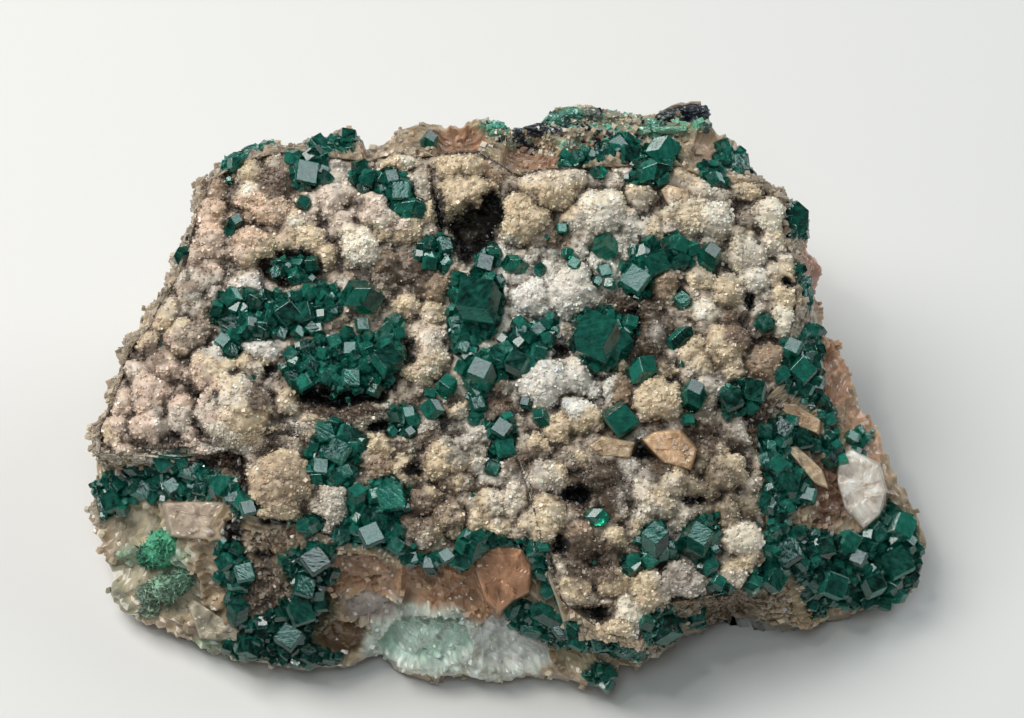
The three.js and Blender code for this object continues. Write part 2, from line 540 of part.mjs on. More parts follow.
// A dioptase crystal: a six-sided prism closed at both ends by three rhombohedron faces
function crystalSolid([x, y, width, length, turn, lean, spin], grow) {
  const radius = width / 2;
  const half = Math.max(length / 2, radius * LEAST_HALF_LENGTH);
  const points = [[0, 0, half], [0, 0, -half]];
  for (let corner = 0; corner < 6; corner += 1) {
    const angle = radians(corner * 60);
    const [high, low] = corner % 2 ? [0.5, 1] : [1, 0.5];
    const [px, py] = [Math.cos(angle) * radius, Math.sin(angle) * radius];
    points.push([px, py, half - high * RHOMB_SLOPE * radius], [px, py, -half + low * RHOMB_SLOPE * radius]);
  }
  const axis = new THREE.Vector3(Math.cos(radians(turn)) * Math.cos(radians(lean)), 0, 0)
    .addScaledVector(sightUp, Math.sin(radians(turn)) * Math.cos(radians(lean)))
    .addScaledVector(sightOut, Math.sin(radians(lean)));
  const facing = sightOut.clone().addScaledVector(axis, -sightOut.dot(axis)).normalize();
  const basis = new THREE.Matrix4().makeBasis(facing, axis.clone().cross(facing), axis);
  const inner = Math.min(radius * Math.cos(radians(30)), half * Math.cos(Math.atan(RHOMB_SLOPE)));
  const scale = 1 + grow / inner;
  const centre = sighted([x, y], skinHeight([x, y]) + width * CRYSTAL_LIFT);
  const placed = new THREE.Matrix4().setPosition(centre).multiply(basis)
    .multiply(new THREE.Matrix4().makeRotationZ(radians(spin)));
  const corners = points.map((point) => (
    new THREE.Vector3(...point).multiplyScalar(scale).applyMatrix4(placed)
  ));
  return toSolid(new ConvexGeometry(corners));
}

// A cleavage block: a flat face turned to the eye, widening into the rock behind it
function blockSolid({ corners, out, depth }, grow) {
  const mean = (axis) => corners.reduce((sum, corner) => sum + corner[axis], 0) / corners.length;
  const middle = [mean(0), mean(1)];
  const spread = (corner) => corner.map((value, axis) => middle[axis] + (value - middle[axis]) * BLOCK_TAPER);
  const level = skinHeight(middle);
  const tilted = (corner) => level + out + (skinHeight(corner) - level) * FACE_TILT;
  const front = corners.map((corner) => sighted(corner, tilted(corner)));
  const back = corners.map((corner) => sighted(spread(corner), level - depth));
  const hull = toSolid(new ConvexGeometry([...front, ...back]));
  if (!grow) return hull;
  return hull.translate(sighted(middle, level).negate().toArray())
    .scale(1 + grow / BLOCK_HALF_THICKNESS).translate(sighted(middle, level).toArray());
}

function lumpSolid([x, y, radius], grow) {
  const geometry = new THREE.IcosahedronGeometry(radius + grow, 0);
  const centre = sighted([x, y], skinHeight([x, y]) - LUMP_SINK * radius);
  geometry.rotateZ(x).rotateX(y).translate(...centre.toArray());
  return toSolid(geometry);
}

function oreBody(grow) {
  return Manifold.union(ORE_LUMPS.map((lump) => lumpSolid(lump, grow)));
}

function malachiteBody(grow) {
  const { place, radius, out, sink } = MALACHITE_BALL;
  const geometry = new THREE.IcosahedronGeometry(radius + grow, 1);
  geometry.translate(...sighted(place, skinHeight(place) + out - radius * sink).toArray());
  return toSolid(geometry);
}

const group = new THREE.Group();
group.name = 'dioptase_specimen';

function addNode(name, solid, material) {
  const data = largest(solid.asOriginal().simplify(FINE_DETAIL)).getMesh();
  const geometry = new THREE.BufferGeometry();
  geometry.setAttribute('position', new THREE.BufferAttribute(new Float32Array(data.vertProperties), 3));
  geometry.setIndex(new THREE.BufferAttribute(new Uint32Array(data.triVerts), 1));
  geometry.computeVertexNormals();
  const mesh = new THREE.Mesh(geometry, material);
  mesh.name = name;
  group.add(mesh);
}

// Every piece is cut back, with a narrow gap, from the pieces that were there before it. A crystal standing
// apart from the rest of its group grows from the crust instead.
const groundBox = new THREE.BoxGeometry(2 * WIDTH, 2 * WIDTH, GROUND_DEPTH);
const ground = toSolid(groundBox.translate(0, 0, -GROUND_DEPTH / 2));
const taken = [ground];
const sockets = [];
const onCrust = [];
const onBlock = [];
const clearOfBlock = [];

// True inside the crust's outline, seen along the line of sight
function standsOnCrust(body) {
  const { min, max } = body.boundingBox();
  const centre = new THREE.Vector3(...min).add(new THREE.Vector3(...max)).multiplyScalar(0.5);
  const offset = centre.sub(new THREE.Vector3(...MIDDLE_POINT));
  const shrink = (1 - offset.dot(sightOut) / SIGHT_DISTANCE) * MM_PER_PIXEL;
  const [dx, dy] = [
    offset.x / shrink + MIDDLE[0] - RADIAL_CENTRE[0],
    -offset.dot(sightUp) / shrink + MIDDLE[1] - RADIAL_CENTRE[1],
  ];
  return Math.hypot(dx, dy) < reach(CRUST_EDGE, Math.atan2(dy, dx));
}

function settle(name, solid, grown, material) {
  const clear = solid.subtract(Manifold.union(taken));
  const main = largest(clear);
  addNode(name, main, material);
  const isStray = (body) => body.volume() < main.volume() && body.volume() > CRUMB_VOLUME;
  const strays = clear.decompose().filter(isStray);
  strays.forEach((body) => (standsOnCrust(body) ? onCrust : onBlock).push(body));
  const grownBodies = grown.decompose();
  const holdsMain = (body) => !body.intersect(main).isEmpty();
  sockets.push(...grownBodies.filter(holdsMain));
  clearOfBlock.push(...grownBodies.filter((body) => !holdsMain(body) && !standsOnCrust(body)));
  taken.push(grown);
}

for (const [name, crystals] of Object.entries(DIOPTASE)) {
  const joined = (grow) => Manifold.union(crystals.map((crystal) => crystalSolid(crystal, grow)));
  settle(name, joined(0), joined(GAP), MATERIALS.dioptase);
}
settle('malachite_ball', malachiteBody(0), malachiteBody(GAP), MATERIALS.malachite);
for (const [name, block] of Object.entries(CALCITE_BLOCKS)) {
  settle(name, blockSolid(block, 0), blockSolid(block, GAP), MATERIALS.calcite);
}
settle('ore_lumps', oreBody(0), oreBody(GAP), MATERIALS.ore);

const pockets = Manifold.union(sockets);
const hollows = Manifold.union(HOLLOWS.map(hollowSolid));
const smallCrystals = CRUST_DIOPTASE.map((crystal) => crystalSolid(crystal, 0));
const rimBlocks = (grow) => BASE_BLOCKS.map((block) => blockSolid(block, grow));
const bedrock = Manifold.union([blockBody(BED_GAP), ...rimBlocks(BED_GAP), ...clearOfBlock]);
const base = Manifold.union([blockBody(0), ...rimBlocks(0), ...onBlock]).subtract(pockets).subtract(ground)
  .asOriginal().simplify(CRUST_DETAIL);
addNode('calcite_base', base, MATERIALS.calcite);

const crust = Manifold.union([crustBody().subtract(hollows), ...smallCrystals, ...onCrust])
  .subtract(bedrock).subtract(pockets).asOriginal().simplify(CRUST_DETAIL);
addNode('druse_crust', crust, MATERIALS.druse);

export default group;
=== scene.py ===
# %% [markdown]
# A dioptase specimen: a block of pink and white calcite, a pale crust of tiny crystals (a druse) over it,
# and emerald-green dioptase crystals standing in the crust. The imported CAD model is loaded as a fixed
# frame, so every new piece is worked out in the same millimetres as its solid and then written in metres.

# %% Load the frame
from math import cos, radians, sin, tan

import bpy
import numpy as np
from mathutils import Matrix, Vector


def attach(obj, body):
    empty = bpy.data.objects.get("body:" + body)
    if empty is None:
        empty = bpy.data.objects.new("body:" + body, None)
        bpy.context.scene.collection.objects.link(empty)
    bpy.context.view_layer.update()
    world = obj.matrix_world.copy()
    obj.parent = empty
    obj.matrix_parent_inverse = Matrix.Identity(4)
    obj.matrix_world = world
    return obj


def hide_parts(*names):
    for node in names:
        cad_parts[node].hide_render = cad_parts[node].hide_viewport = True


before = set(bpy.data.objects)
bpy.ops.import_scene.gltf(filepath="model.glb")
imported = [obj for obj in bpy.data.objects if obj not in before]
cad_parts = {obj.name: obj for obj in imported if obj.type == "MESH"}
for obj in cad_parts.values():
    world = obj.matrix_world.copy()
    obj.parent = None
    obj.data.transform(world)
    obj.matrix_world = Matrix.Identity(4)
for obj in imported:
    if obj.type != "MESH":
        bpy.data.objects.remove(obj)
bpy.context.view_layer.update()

print("solids in the frame:", len(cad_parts))

# %% [markdown]
# Places on a rock are easiest to note on a picture of it. Each place below is a picture point, and a line
# of sight carries it onto the rock: the eye is 650 mm away, in front and 55 degrees up. The same few lines
# of geometry are in the CAD source, so both agree.

# %% The line of sight
MM = 0.001
MM_PER_PIXEL = 150 / 833
SIGHT_ELEVATION = radians(55)
SIGHT_DISTANCE = 650.0
CRUST_SLOPE = radians(20)
MIDDLE_POINT = np.array([1.04, -2.03, 41.0])
PICTURE_MIDDLE = (512, 359)
RADIAL_CENTRE = (500, 390)
SIGHT_UP = np.array([0, sin(SIGHT_ELEVATION), cos(SIGHT_ELEVATION)])
SIGHT_OUT = np.array([0, -cos(SIGHT_ELEVATION), sin(SIGHT_ELEVATION)])
SIGHT_RIGHT = np.array([1.0, 0, 0])
CRUST_FALL = 1 / tan(SIGHT_ELEVATION + CRUST_SLOPE)


def sighted(x, y, height):
    """Points (mm) on the lines of sight through picture places x, y: the eye's view shrinks with height."""
    shrink = (1 - height / SIGHT_DISTANCE) * MM_PER_PIXEL
    across = (x - PICTURE_MIDDLE[0]) * shrink
    up = (PICTURE_MIDDLE[1] - y) * shrink
    return (MIDDLE_POINT + across[..., None] * SIGHT_RIGHT + up[..., None] * SIGHT_UP
            + height[..., None] * SIGHT_OUT)


def radial(direction, distance, centre=RADIAL_CENTRE):
    """Picture places at a distance in a direction from a centre."""
    return centre[0] + np.cos(direction) * distance, centre[1] + np.sin(direction) * distance


def height_at_level(y, level):
    """Height along the line of sight at which it meets a level z: level = middle + rise + height * slope."""
    rise = (PICTURE_MIDDLE[1] - y) * MM_PER_PIXEL * SIGHT_UP[2]
    return (level - MIDDLE_POINT[2] - rise) / (SIGHT_OUT[2] - rise / SIGHT_DISTANCE)


# %% Reading places from text
def read_rows(text):
    """Rows of numbers: rows are parted by commas, and the numbers of a row by spaces."""
    return [tuple(float(value) for value in row.split()) for row in text.split(",")]


def read_lists(text):
    """Entries parted by semicolons, each 'label: rows'; gives the label's words and the rows of numbers."""
    for entry in text.split(";"):
        label, rows = entry.split(":")
        yield label.split(), read_rows(rows)


# %% Outlines of the specimen and of its crust
OUTLINE = np.array(read_rows("""
    187 240, 196 230, 197 218, 195 210, 196 195, 200 187, 203 180, 212 177, 219 170, 227 158, 240 155,
    250 148, 262 144, 274 141, 278 147, 290 150, 300 147, 308 141, 320 136, 326 139, 336 132, 345 128,
    351 129, 358 138, 355 150, 366 148, 375 143, 385 140, 395 133, 405 131, 415 126, 418 123, 428 125,
    440 127, 460 127, 476 121, 492 121, 502 125, 512 131, 535 128, 548 121, 550 115, 555 110, 573 108,
    577 105, 605 110, 625 115, 640 116, 660 116, 668 108, 680 104, 700 102, 706 110, 709 120, 712 128,
    718 134, 730 136, 738 149, 745 153, 749 162, 752 173, 757 179, 767 186, 780 192, 788 201, 798 202,
    803 211, 808 220, 808 233, 804 241, 810 250, 818 258, 821 266, 820 275, 813 280, 811 300, 809 318,
    819 335, 834 342, 841 358, 848 370, 853 390, 858 405, 869 420, 878 431, 884 450, 893 468, 897 480,
    908 497, 918 518, 923 535, 925 543, 922 560, 921 572, 917 583, 905 597, 884 603, 870 609, 850 611,
    832 610, 827 617, 815 628, 800 627, 785 621, 760 619, 754 610, 740 608, 725 618, 706 618, 706 627,
    687 629, 676 633, 676 640, 663 648, 650 655, 640 665, 619 663, 613 677, 604 690, 590 685, 567 677,
    540 673, 520 674, 502 677, 483 678, 463 673, 440 675, 408 673, 393 661, 383 652, 370 653, 360 660,
    345 664, 313 665, 292 666, 264 661, 243 661, 227 656, 217 646, 203 648, 190 636, 176 636, 164 628,
    152 626, 137 619, 117 605, 110 593, 114 577, 110 563, 98 547, 102 543, 96 530, 88 510, 94 501, 90 486,
    98 470, 98 455, 95 437, 92 428, 99 423, 110 410, 111 393, 113 382, 124 372, 122 350, 128 348, 125 341,
    135 336, 144 330, 146 310, 158 302, 163 295, 170 280, 175 270, 171 258, 183 245
"""))

CRUST_EDGE = np.array(read_rows("""
    98 455, 96 428, 112 400, 126 350, 148 325, 162 300, 177 270, 187 240, 198 205, 212 177, 240 160,
    280 150, 330 156, 365 160, 395 152, 420 156, 445 153, 480 152, 520 175, 545 168, 590 167, 630 165,
    680 165, 720 183, 757 182, 785 202, 786 240, 800 262, 798 310, 788 345, 780 385, 745 420, 765 460,
    766 510, 767 545, 745 590, 700 600, 660 605, 640 643, 605 635, 560 600, 555 560, 530 545, 500 540,
    455 560, 410 550, 340 540, 300 525, 250 515, 245 480, 240 455
"""))


def reach(outline, directions):
    """Distance from the radial centre to an outline: the furthest crossing of each ray with its edges."""
    start = outline - RADIAL_CENTRE
    step = np.roll(start, -1, axis=0) - start
    ray = np.stack([np.cos(directions), np.sin(directions)], axis=-1)[:, None, :]
    across = ray[..., 0] * step[:, 1] - ray[..., 1] * step[:, 0]
    across = np.where(np.abs(across) < 1e-9, 1e-9, across)
    along = (start[:, 0] * step[:, 1] - start[:, 1] * step[:, 0]) / across
    share = (start[:, 0] * ray[..., 1] - start[:, 1] * ray[..., 0]) / across
    return np.where((share >= 0) & (share <= 1) & (along > 0), along, 0).max(axis=1)


COMPASS = np.linspace(-np.pi, np.pi, 1441)
OUTLINE_REACH = reach(OUTLINE, COMPASS)
CRUST_REACH = reach(CRUST_EDGE, COMPASS)


def reaches(direction):
    """Distances from the radial centre to the crust's edge and to the outline, in given directions."""
    return np.interp(direction, COMPASS, CRUST_REACH), np.interp(direction, COMPASS, OUTLINE_REACH)


print("outline reaches", OUTLINE_REACH.min().round(), "to", OUTLINE_REACH.max().round(), "pixels")

# %% The crust's relief and the skin of the whole rock
RELIEF_COLUMNS = np.array([100, 250, 400, 550, 700, 850], float)
RELIEF_ROWS = np.array([150, 270, 390, 510, 620], float)
RELIEF = np.array([
    (-7, -1, 0, 0, -1, -5),
    (-6, 0, -1, 1, 0, -5),
    (-6, 1, 0, 1, 1, -5),
    (-7, -1, 0, 1, 0, -7),
    (-9, -4, -3, -2, -4, -9),
], float)
FRONT_WAIST = 5.0
RIM_DROP = 2.5
SIDE_DROP = 7.0
# Half the specimen's width in pixels, and the picture rows between which the wall turns to the front.
HALF_ACROSS = 400
FRONT_FROM, FRONT_TO = 440, 620


def mix(first, second, share):
    """The first where the share is 0, the second where it is 1."""
    return first * (1 - share) + second * share


def smooth_step(value, low, high):
    """0 below low, 1 above high, and a cubic ease between them."""
    share = np.clip((value - low) / (high - low), 0, 1)
    return share * share * (3 - 2 * share)


def net_height(x, y):
    """Relief between the lines of a coarse net: the four nearest values mixed by distance."""
    column = np.clip(np.interp(x, RELIEF_COLUMNS, np.arange(6.0)), 0, 4.999)
    row = np.clip(np.interp(y, RELIEF_ROWS, np.arange(5.0)), 0, 3.999)
    c, r = column.astype(int), row.astype(int)
    u, v = column - c, row - r
    return mix(mix(RELIEF[r, c], RELIEF[r, c + 1], u), mix(RELIEF[r + 1, c], RELIEF[r + 1, c + 1], u), v)


def crust_height(x, y):
    """Height of the crust: a plane that rises to the back, and the net's relief on it."""
    return net_height(x, y) - CRUST_FALL * (PICTURE_MIDDLE[1] - y) * MM_PER_PIXEL


def waist_level(x, y):
    """Level of the wall's widest part: just below the rim at the back and sides, near the foot in front."""
    rim = sighted(x, y, crust_height(x, y))[..., 2]
    side = np.minimum(1, np.abs(x - PICTURE_MIDDLE[0]) / HALF_ACROSS)
    return mix(rim - RIM_DROP - SIDE_DROP * side, FRONT_WAIST, smooth_step(y, FRONT_FROM, FRONT_TO))


def skin_height(x, y):
    """Height of the rock: the crust inside its edge, and a straight wall from there to the outline."""
    dx, dy = x - RADIAL_CENTRE[0], y - RADIAL_CENTRE[1]
    direction, distance = np.arctan2(dy, dx), np.hypot(dx, dy)
    edge, rim = reaches(direction)
    share = np.clip((distance - edge) / np.maximum(rim - edge, 1), 0, 1)
    rim_x, rim_y = radial(direction, rim)
    low = height_at_level(rim_y, waist_level(rim_x, rim_y))
    wall = mix(crust_height(*radial(direction, edge)), low, share)
    return np.where(distance <= edge, crust_height(x, y), wall)


print("skin height at the middle:", float(skin_height(np.array(512.0), np.array(359.0)).round(2)), "mm")

# %% [markdown]
# Rock is made of the same few forms at many sizes. Three repeatable reliefs give them: one sets a ball in
# every cell of a jittered net, one a small block there, turned at random, whose top is the lowest of three
# slanting planes, and one a tilted flat. Each is worked out for a whole array from a cell's nine neighbours.

# %% Repeatable reliefs
def cell_noise(ix, iy, seed):
    """A number from 0 to 1 for each cell: the fraction of a large sine of its indices."""
    value = np.sin(ix * 127.1 + iy * 311.7 + seed * 74.7) * 43758.5453
    return value - np.floor(value)


def neighbours(u, v, cell):
    """For each of the nine cells round a point: its indices, and the offset from its jittered centre."""
    iu, iv = np.floor(u / cell), np.floor(v / cell)
    for du in (-1, 0, 1):
        for dv in (-1, 0, 1):
            cu, cv = iu + du, iv + dv
            centre_u = (cu + 0.15 + 0.7 * cell_noise(cu, cv, 1)) * cell
            centre_v = (cv + 0.15 + 0.7 * cell_noise(cu, cv, 2)) * cell
            yield cu, cv, u - centre_u, v - centre_v


def ball_relief(u, v, cell, seed=0):
    """Height of balls in a jittered net: the highest of sqrt(r^2 - d^2), with a different r in each cell."""
    best = np.zeros_like(u)
    for cu, cv, du, dv in neighbours(u, v, cell):
        radius = cell * (0.35 + 0.4 * cell_noise(cu, cv, seed + 3))
        best = np.maximum(best, np.sqrt(np.maximum(radius ** 2 - du ** 2 - dv ** 2, 0)))
    return best


def block_relief(u, v, cell, seed=0, steep=0.9):
    """Height of tilted blocks in a jittered net: each is the lowest of three planes round a random axis."""
    best = np.zeros_like(u)
    for cu, cv, du, dv in neighbours(u, v, cell):
        turn = cell_noise(cu, cv, seed + 4) * 2 * np.pi
        size = cell * (0.35 + 0.5 * cell_noise(cu, cv, seed + 5))
        top = np.full_like(u, np.inf)
        for side in range(3):
            angle = turn + side * 2 * np.pi / 3
            lean = steep * (0.35 + 1.3 * cell_noise(cu + side, cv, seed + 6))
            top = np.minimum(top, size - lean * (du * np.cos(angle) + dv * np.sin(angle)))
        best = np.maximum(best, top)
    return best


def nearest_cell(u, v, cell, seed=0):
    """A patchwork: the number from 0 to 1 of the nearest jittered cell centre."""
    best, number = np.full(np.shape(u), np.inf), np.zeros(np.shape(u))
    for cu, cv, du, dv in neighbours(u, v, cell):
        distance = du ** 2 + dv ** 2
        nearer = distance < best
        best = np.where(nearer, distance, best)
        number = np.where(nearer, cell_noise(cu, cv, seed), number)
    return number


def flakes(u, v, cell, slope, seed):
    """A mosaic of tilted flats: in each cell a plane with its own slope both ways and a small offset."""
    best, height = np.full(np.shape(u), np.inf), np.zeros(np.shape(u))
    for cu, cv, du, dv in neighbours(u, v, cell):
        distance = du ** 2 + dv ** 2
        tilt_u, tilt_v = (2 * cell_noise(cu, cv, seed + extra) - 1 for extra in (0, 1))
        plane = slope * (tilt_u * du + tilt_v * dv + 0.3 * cell * cell_noise(cu, cv, seed + 2))
        nearer = distance < best
        best, height = np.where(nearer, distance, best), np.where(nearer, plane, height)
    return height


def value_noise(u, v, cell, seed=0):
    """Soft noise from -1 to 1: random corner values mixed with a cubic ease."""
    gu, gv = u / cell, v / cell
    iu, iv = np.floor(gu), np.floor(gv)
    fu, fv = smooth_step(gu - iu, 0, 1), smooth_step(gv - iv, 0, 1)
    top = mix(cell_noise(iu, iv, seed), cell_noise(iu + 1, iv, seed), fu)
    bottom = mix(cell_noise(iu, iv + 1, seed), cell_noise(iu + 1, iv + 1, seed), fu)
    return 2 * mix(top, bottom, fv) - 1


# %% Making a mesh from a grid
def new_piece(name, points_mm, faces, tint=None):
    """A closed mesh from points in millimetres and faces of like corners, riding on the specimen."""
    faces = np.asarray(faces)
    mesh = bpy.data.meshes.new(name)
    mesh.vertices.add(len(points_mm))
    mesh.vertices.foreach_set("co", np.ascontiguousarray(points_mm * MM, dtype=np.float32).ravel())
    sides = faces.shape[1]
    mesh.loops.add(faces.size)
    mesh.loops.foreach_set("vertex_index", faces.astype(np.int32).ravel())
    mesh.polygons.add(len(faces))
    mesh.polygons.foreach_set("loop_start", np.arange(0, faces.size, sides, dtype=np.int32))
    mesh.update(calc_edges=True)
    mesh.validate()
    mesh.shade_flat()
    if tint is not None:
        colours = np.ones((len(points_mm), 4), np.float32)
        colours[:, :3] = tint
        mesh.attributes.new("tint", "FLOAT_COLOR", "POINT").data.foreach_set("color", colours.ravel())
    piece = bpy.data.objects.new(name, mesh)
    bpy.context.scene.collection.objects.link(piece)
    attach(piece, "root")
    return piece


def grid_faces(rows, columns, closed=False):
    """Quads of a grid of rows by columns, joined round the end of each row when closed."""
    index = np.arange(rows * columns).reshape(rows, columns)
    right = np.roll(index, -1, axis=1) if closed else index[:, 1:]
    left = index if closed else index[:, :-1]
    return np.stack([left[:-1], left[1:], right[1:], right[:-1]], axis=-1).reshape(-1, 4)


def halved(quads):
    """Two triangles for each face of four corners."""
    return np.concatenate([quads[:, [0, 1, 2]], quads[:, [0, 2, 3]]])


def close_rings(rings):
    """Triangles of a stack of rings that is closed by a middle point at each end."""
    count, around = rings.shape[:2]
    step = np.arange(around)
    following = np.roll(step, -1)
    first, second = count * around, count * around + 1
    last = (count - 1) * around
    return np.concatenate([
        halved(grid_faces(count, around, closed=True)),
        np.stack([np.full(around, first), step, following], axis=-1),
        np.stack([np.full(around, second), last + following, last + step], axis=-1),
    ])


def with_middles(rings):
    """Values of a stack of rings in one list, then the mean of its first ring and of its last."""
    return np.vstack([rings.reshape(-1, 3), rings[0].mean(axis=0), rings[-1].mean(axis=0)])


def unit(vectors):
    """Vectors of length one in the same directions."""
    return vectors / np.maximum(np.linalg.norm(vectors, axis=-1, keepdims=True), 1e-9)


def to_linear(colour):
    """Screen colour 0 to 255 to linear light, by the usual power of 2.2."""
    return (np.asarray(colour, float) / 255) ** 2.2


print("reliefs ready")

# %% [markdown]
# Much of the dioptase is a mass of small crystals grown side by side. Each such field is a polygon in the
# picture, filled with crystals in two sizes. The rock under a field is painted dark green as shade between
# the crystals, in the green the real one takes on through them, and the druse keeps clear of it.

# %% Fields of dioptase and single crystals
# Corners of each field in the picture.
GREEN_FIELDS = [read_rows(field) for field in """
    207 312, 222 291, 245 288, 262 294, 280 291, 300 292, 318 284, 340 286, 345 300, 340 316, 322 322,
    318 336, 300 336, 280 338, 262 342, 245 341, 232 336, 216 326;
    287 352, 300 342, 322 338, 345 333, 360 338, 376 332, 398 326, 401 350, 396 374, 384 390, 365 392,
    342 390, 320 382, 305 392, 290 388, 282 374;
    222 340, 238 338, 243 350, 238 358, 222 357;
    272 262, 288 256, 308 257, 318 268, 312 280, 290 280, 276 274;
    290 160, 300 154, 318 152, 328 160, 327 180, 312 190, 296 188, 290 176;
    305 150, 318 137, 332 141, 345 129, 358 139, 355 152, 340 156, 330 150, 318 158;
    225 158, 240 155, 255 147, 272 141, 278 146, 262 152, 248 158, 244 165, 222 172;
    350 170, 362 163, 372 175, 381 170, 390 167, 400 172, 412 183, 415 195, 426 205, 420 215, 400 218,
    388 206, 384 195, 370 192, 352 186;
    411 250, 425 243, 432 236, 440 233, 454 240, 452 262, 444 276, 430 264, 420 258;
    446 292, 458 278, 470 274, 490 274, 503 282, 505 300, 500 325, 490 335, 478 345, 475 362, 462 362,
    452 350, 446 330, 447 315, 452 308;
    458 366, 470 358, 490 350, 500 345, 505 335, 515 325, 530 320, 548 316, 558 320, 556 335, 548 352,
    540 360, 528 372, 515 380, 500 378, 488 388, 468 392;
    472 255, 484 250, 500 246, 502 256, 494 270, 478 272;
    470 386, 486 388, 488 404, 480 420, 468 414;
    484 424, 500 416, 512 420, 518 436, 514 452, 502 462, 486 456, 492 440;
    630 245, 655 240, 668 250, 672 262, 660 270, 652 285, 650 297, 632 298, 620 290, 620 270, 628 262;
    662 234, 680 234, 694 248, 690 268, 676 270, 668 256;
    571 324, 584 310, 600 306, 622 314, 632 334, 626 356, 606 372, 590 372, 576 352;
    318 430, 325 420, 340 422, 352 430, 372 440, 358 446, 360 460, 355 480, 345 488, 330 486, 312 484,
    308 470, 308 450;
    346 490, 352 484, 364 494, 374 480, 388 476, 402 482, 410 495, 408 508, 395 518, 405 528, 400 545,
    385 548, 365 545, 335 543, 334 526, 346 520;
    300 518, 312 512, 326 520, 325 528, 305 540;
    390 412, 400 404, 416 410, 418 428, 406 438, 392 428;
    281 560, 300 545, 338 545, 336 556, 325 565, 338 570, 332 580, 320 590, 322 610, 314 628, 312 645,
    345 658, 340 664, 300 666, 270 662, 236 658, 222 645, 222 636, 240 637, 245 625, 262 615, 285 600,
    300 590, 288 576;
    216 540, 230 540, 240 548, 250 560, 257 572, 252 582, 238 592, 246 618, 240 628, 226 605, 222 582,
    211 574, 222 565, 214 550;
    90 485, 98 478, 108 472, 125 465, 150 462, 158 452, 170 446, 185 447, 190 460, 205 462, 225 474,
    240 478, 240 490, 264 508, 250 512, 240 520, 233 510, 228 500, 200 500, 165 500, 145 500, 130 505,
    120 512, 104 520, 95 500;
    384 548, 400 545, 420 554, 436 552, 446 564, 430 574, 414 566, 400 558;
    448 560, 456 546, 466 536, 482 530, 496 532, 497 541, 530 541, 550 552, 552 562, 546 570, 551 585,
    562 598, 554 600, 540 584, 534 560, 520 548, 496 545, 476 552, 466 568;
    505 604, 518 593, 528 602, 538 612, 556 616, 576 622, 580 634, 600 638, 618 640, 650 650, 640 660,
    606 652, 575 648, 545 645, 524 634, 505 622;
    580 674, 606 662, 618 668, 606 688, 590 684;
    642 624, 652 610, 672 606, 682 618, 678 638, 660 645, 642 640;
    684 612, 704 608, 706 626, 686 628;
    637 540, 646 524, 660 522, 668 536, 680 546, 680 560, 650 562;
    682 532, 694 516, 720 512, 718 535, 712 560, 716 580, 704 574, 690 560;
    620 556, 636 552, 642 568, 634 577, 622 572;
    708 584, 722 582, 736 592, 722 598, 708 594;
    764 535, 770 512, 780 520, 800 525, 838 535, 862 530, 875 520, 888 500, 896 510, 918 530, 922 548,
    918 575, 905 595, 885 603, 850 609, 832 603, 826 616, 812 620, 800 600, 800 582, 786 568, 775 590,
    752 586, 750 575, 766 562;
    755 436, 765 425, 778 413, 795 420, 803 436, 818 440, 822 428, 834 428, 842 455, 838 470, 818 452,
    792 446, 788 455, 800 470, 815 488, 812 502, 790 514, 780 522, 766 505, 762 465;
    782 340, 795 336, 800 325, 812 320, 820 335, 822 375, 820 392, 836 410, 835 425, 822 425, 815 410,
    795 397, 782 390, 778 375, 784 358;
    556 158, 570 152, 590 150, 605 140, 620 132, 636 140, 640 150, 655 140, 672 138, 680 142, 678 160,
    668 165, 660 185, 640 186, 624 182, 632 170, 626 158, 598 160, 580 168, 560 166;
    716 145, 730 145, 745 153, 752 175, 740 178, 726 172, 726 185, 716 188, 702 178, 700 163, 714 160;
    794 262, 802 264, 810 282, 812 300, 806 315, 800 298;
    786 206, 794 202, 804 212, 808 230, 804 240, 788 240;
    846 438, 855 430, 872 430, 877 438, 866 446, 864 456, 856 455;
    718 400, 726 384, 745 376, 768 392, 762 400, 740 414, 724 418
""".split(";")]
# Wide and small crystals of a field: spacing in pixels, then least and greatest width in mm.
FIELD_LAYERS = [(10.5, 1.8, 3.6), (5.5, 0.9, 1.9)]
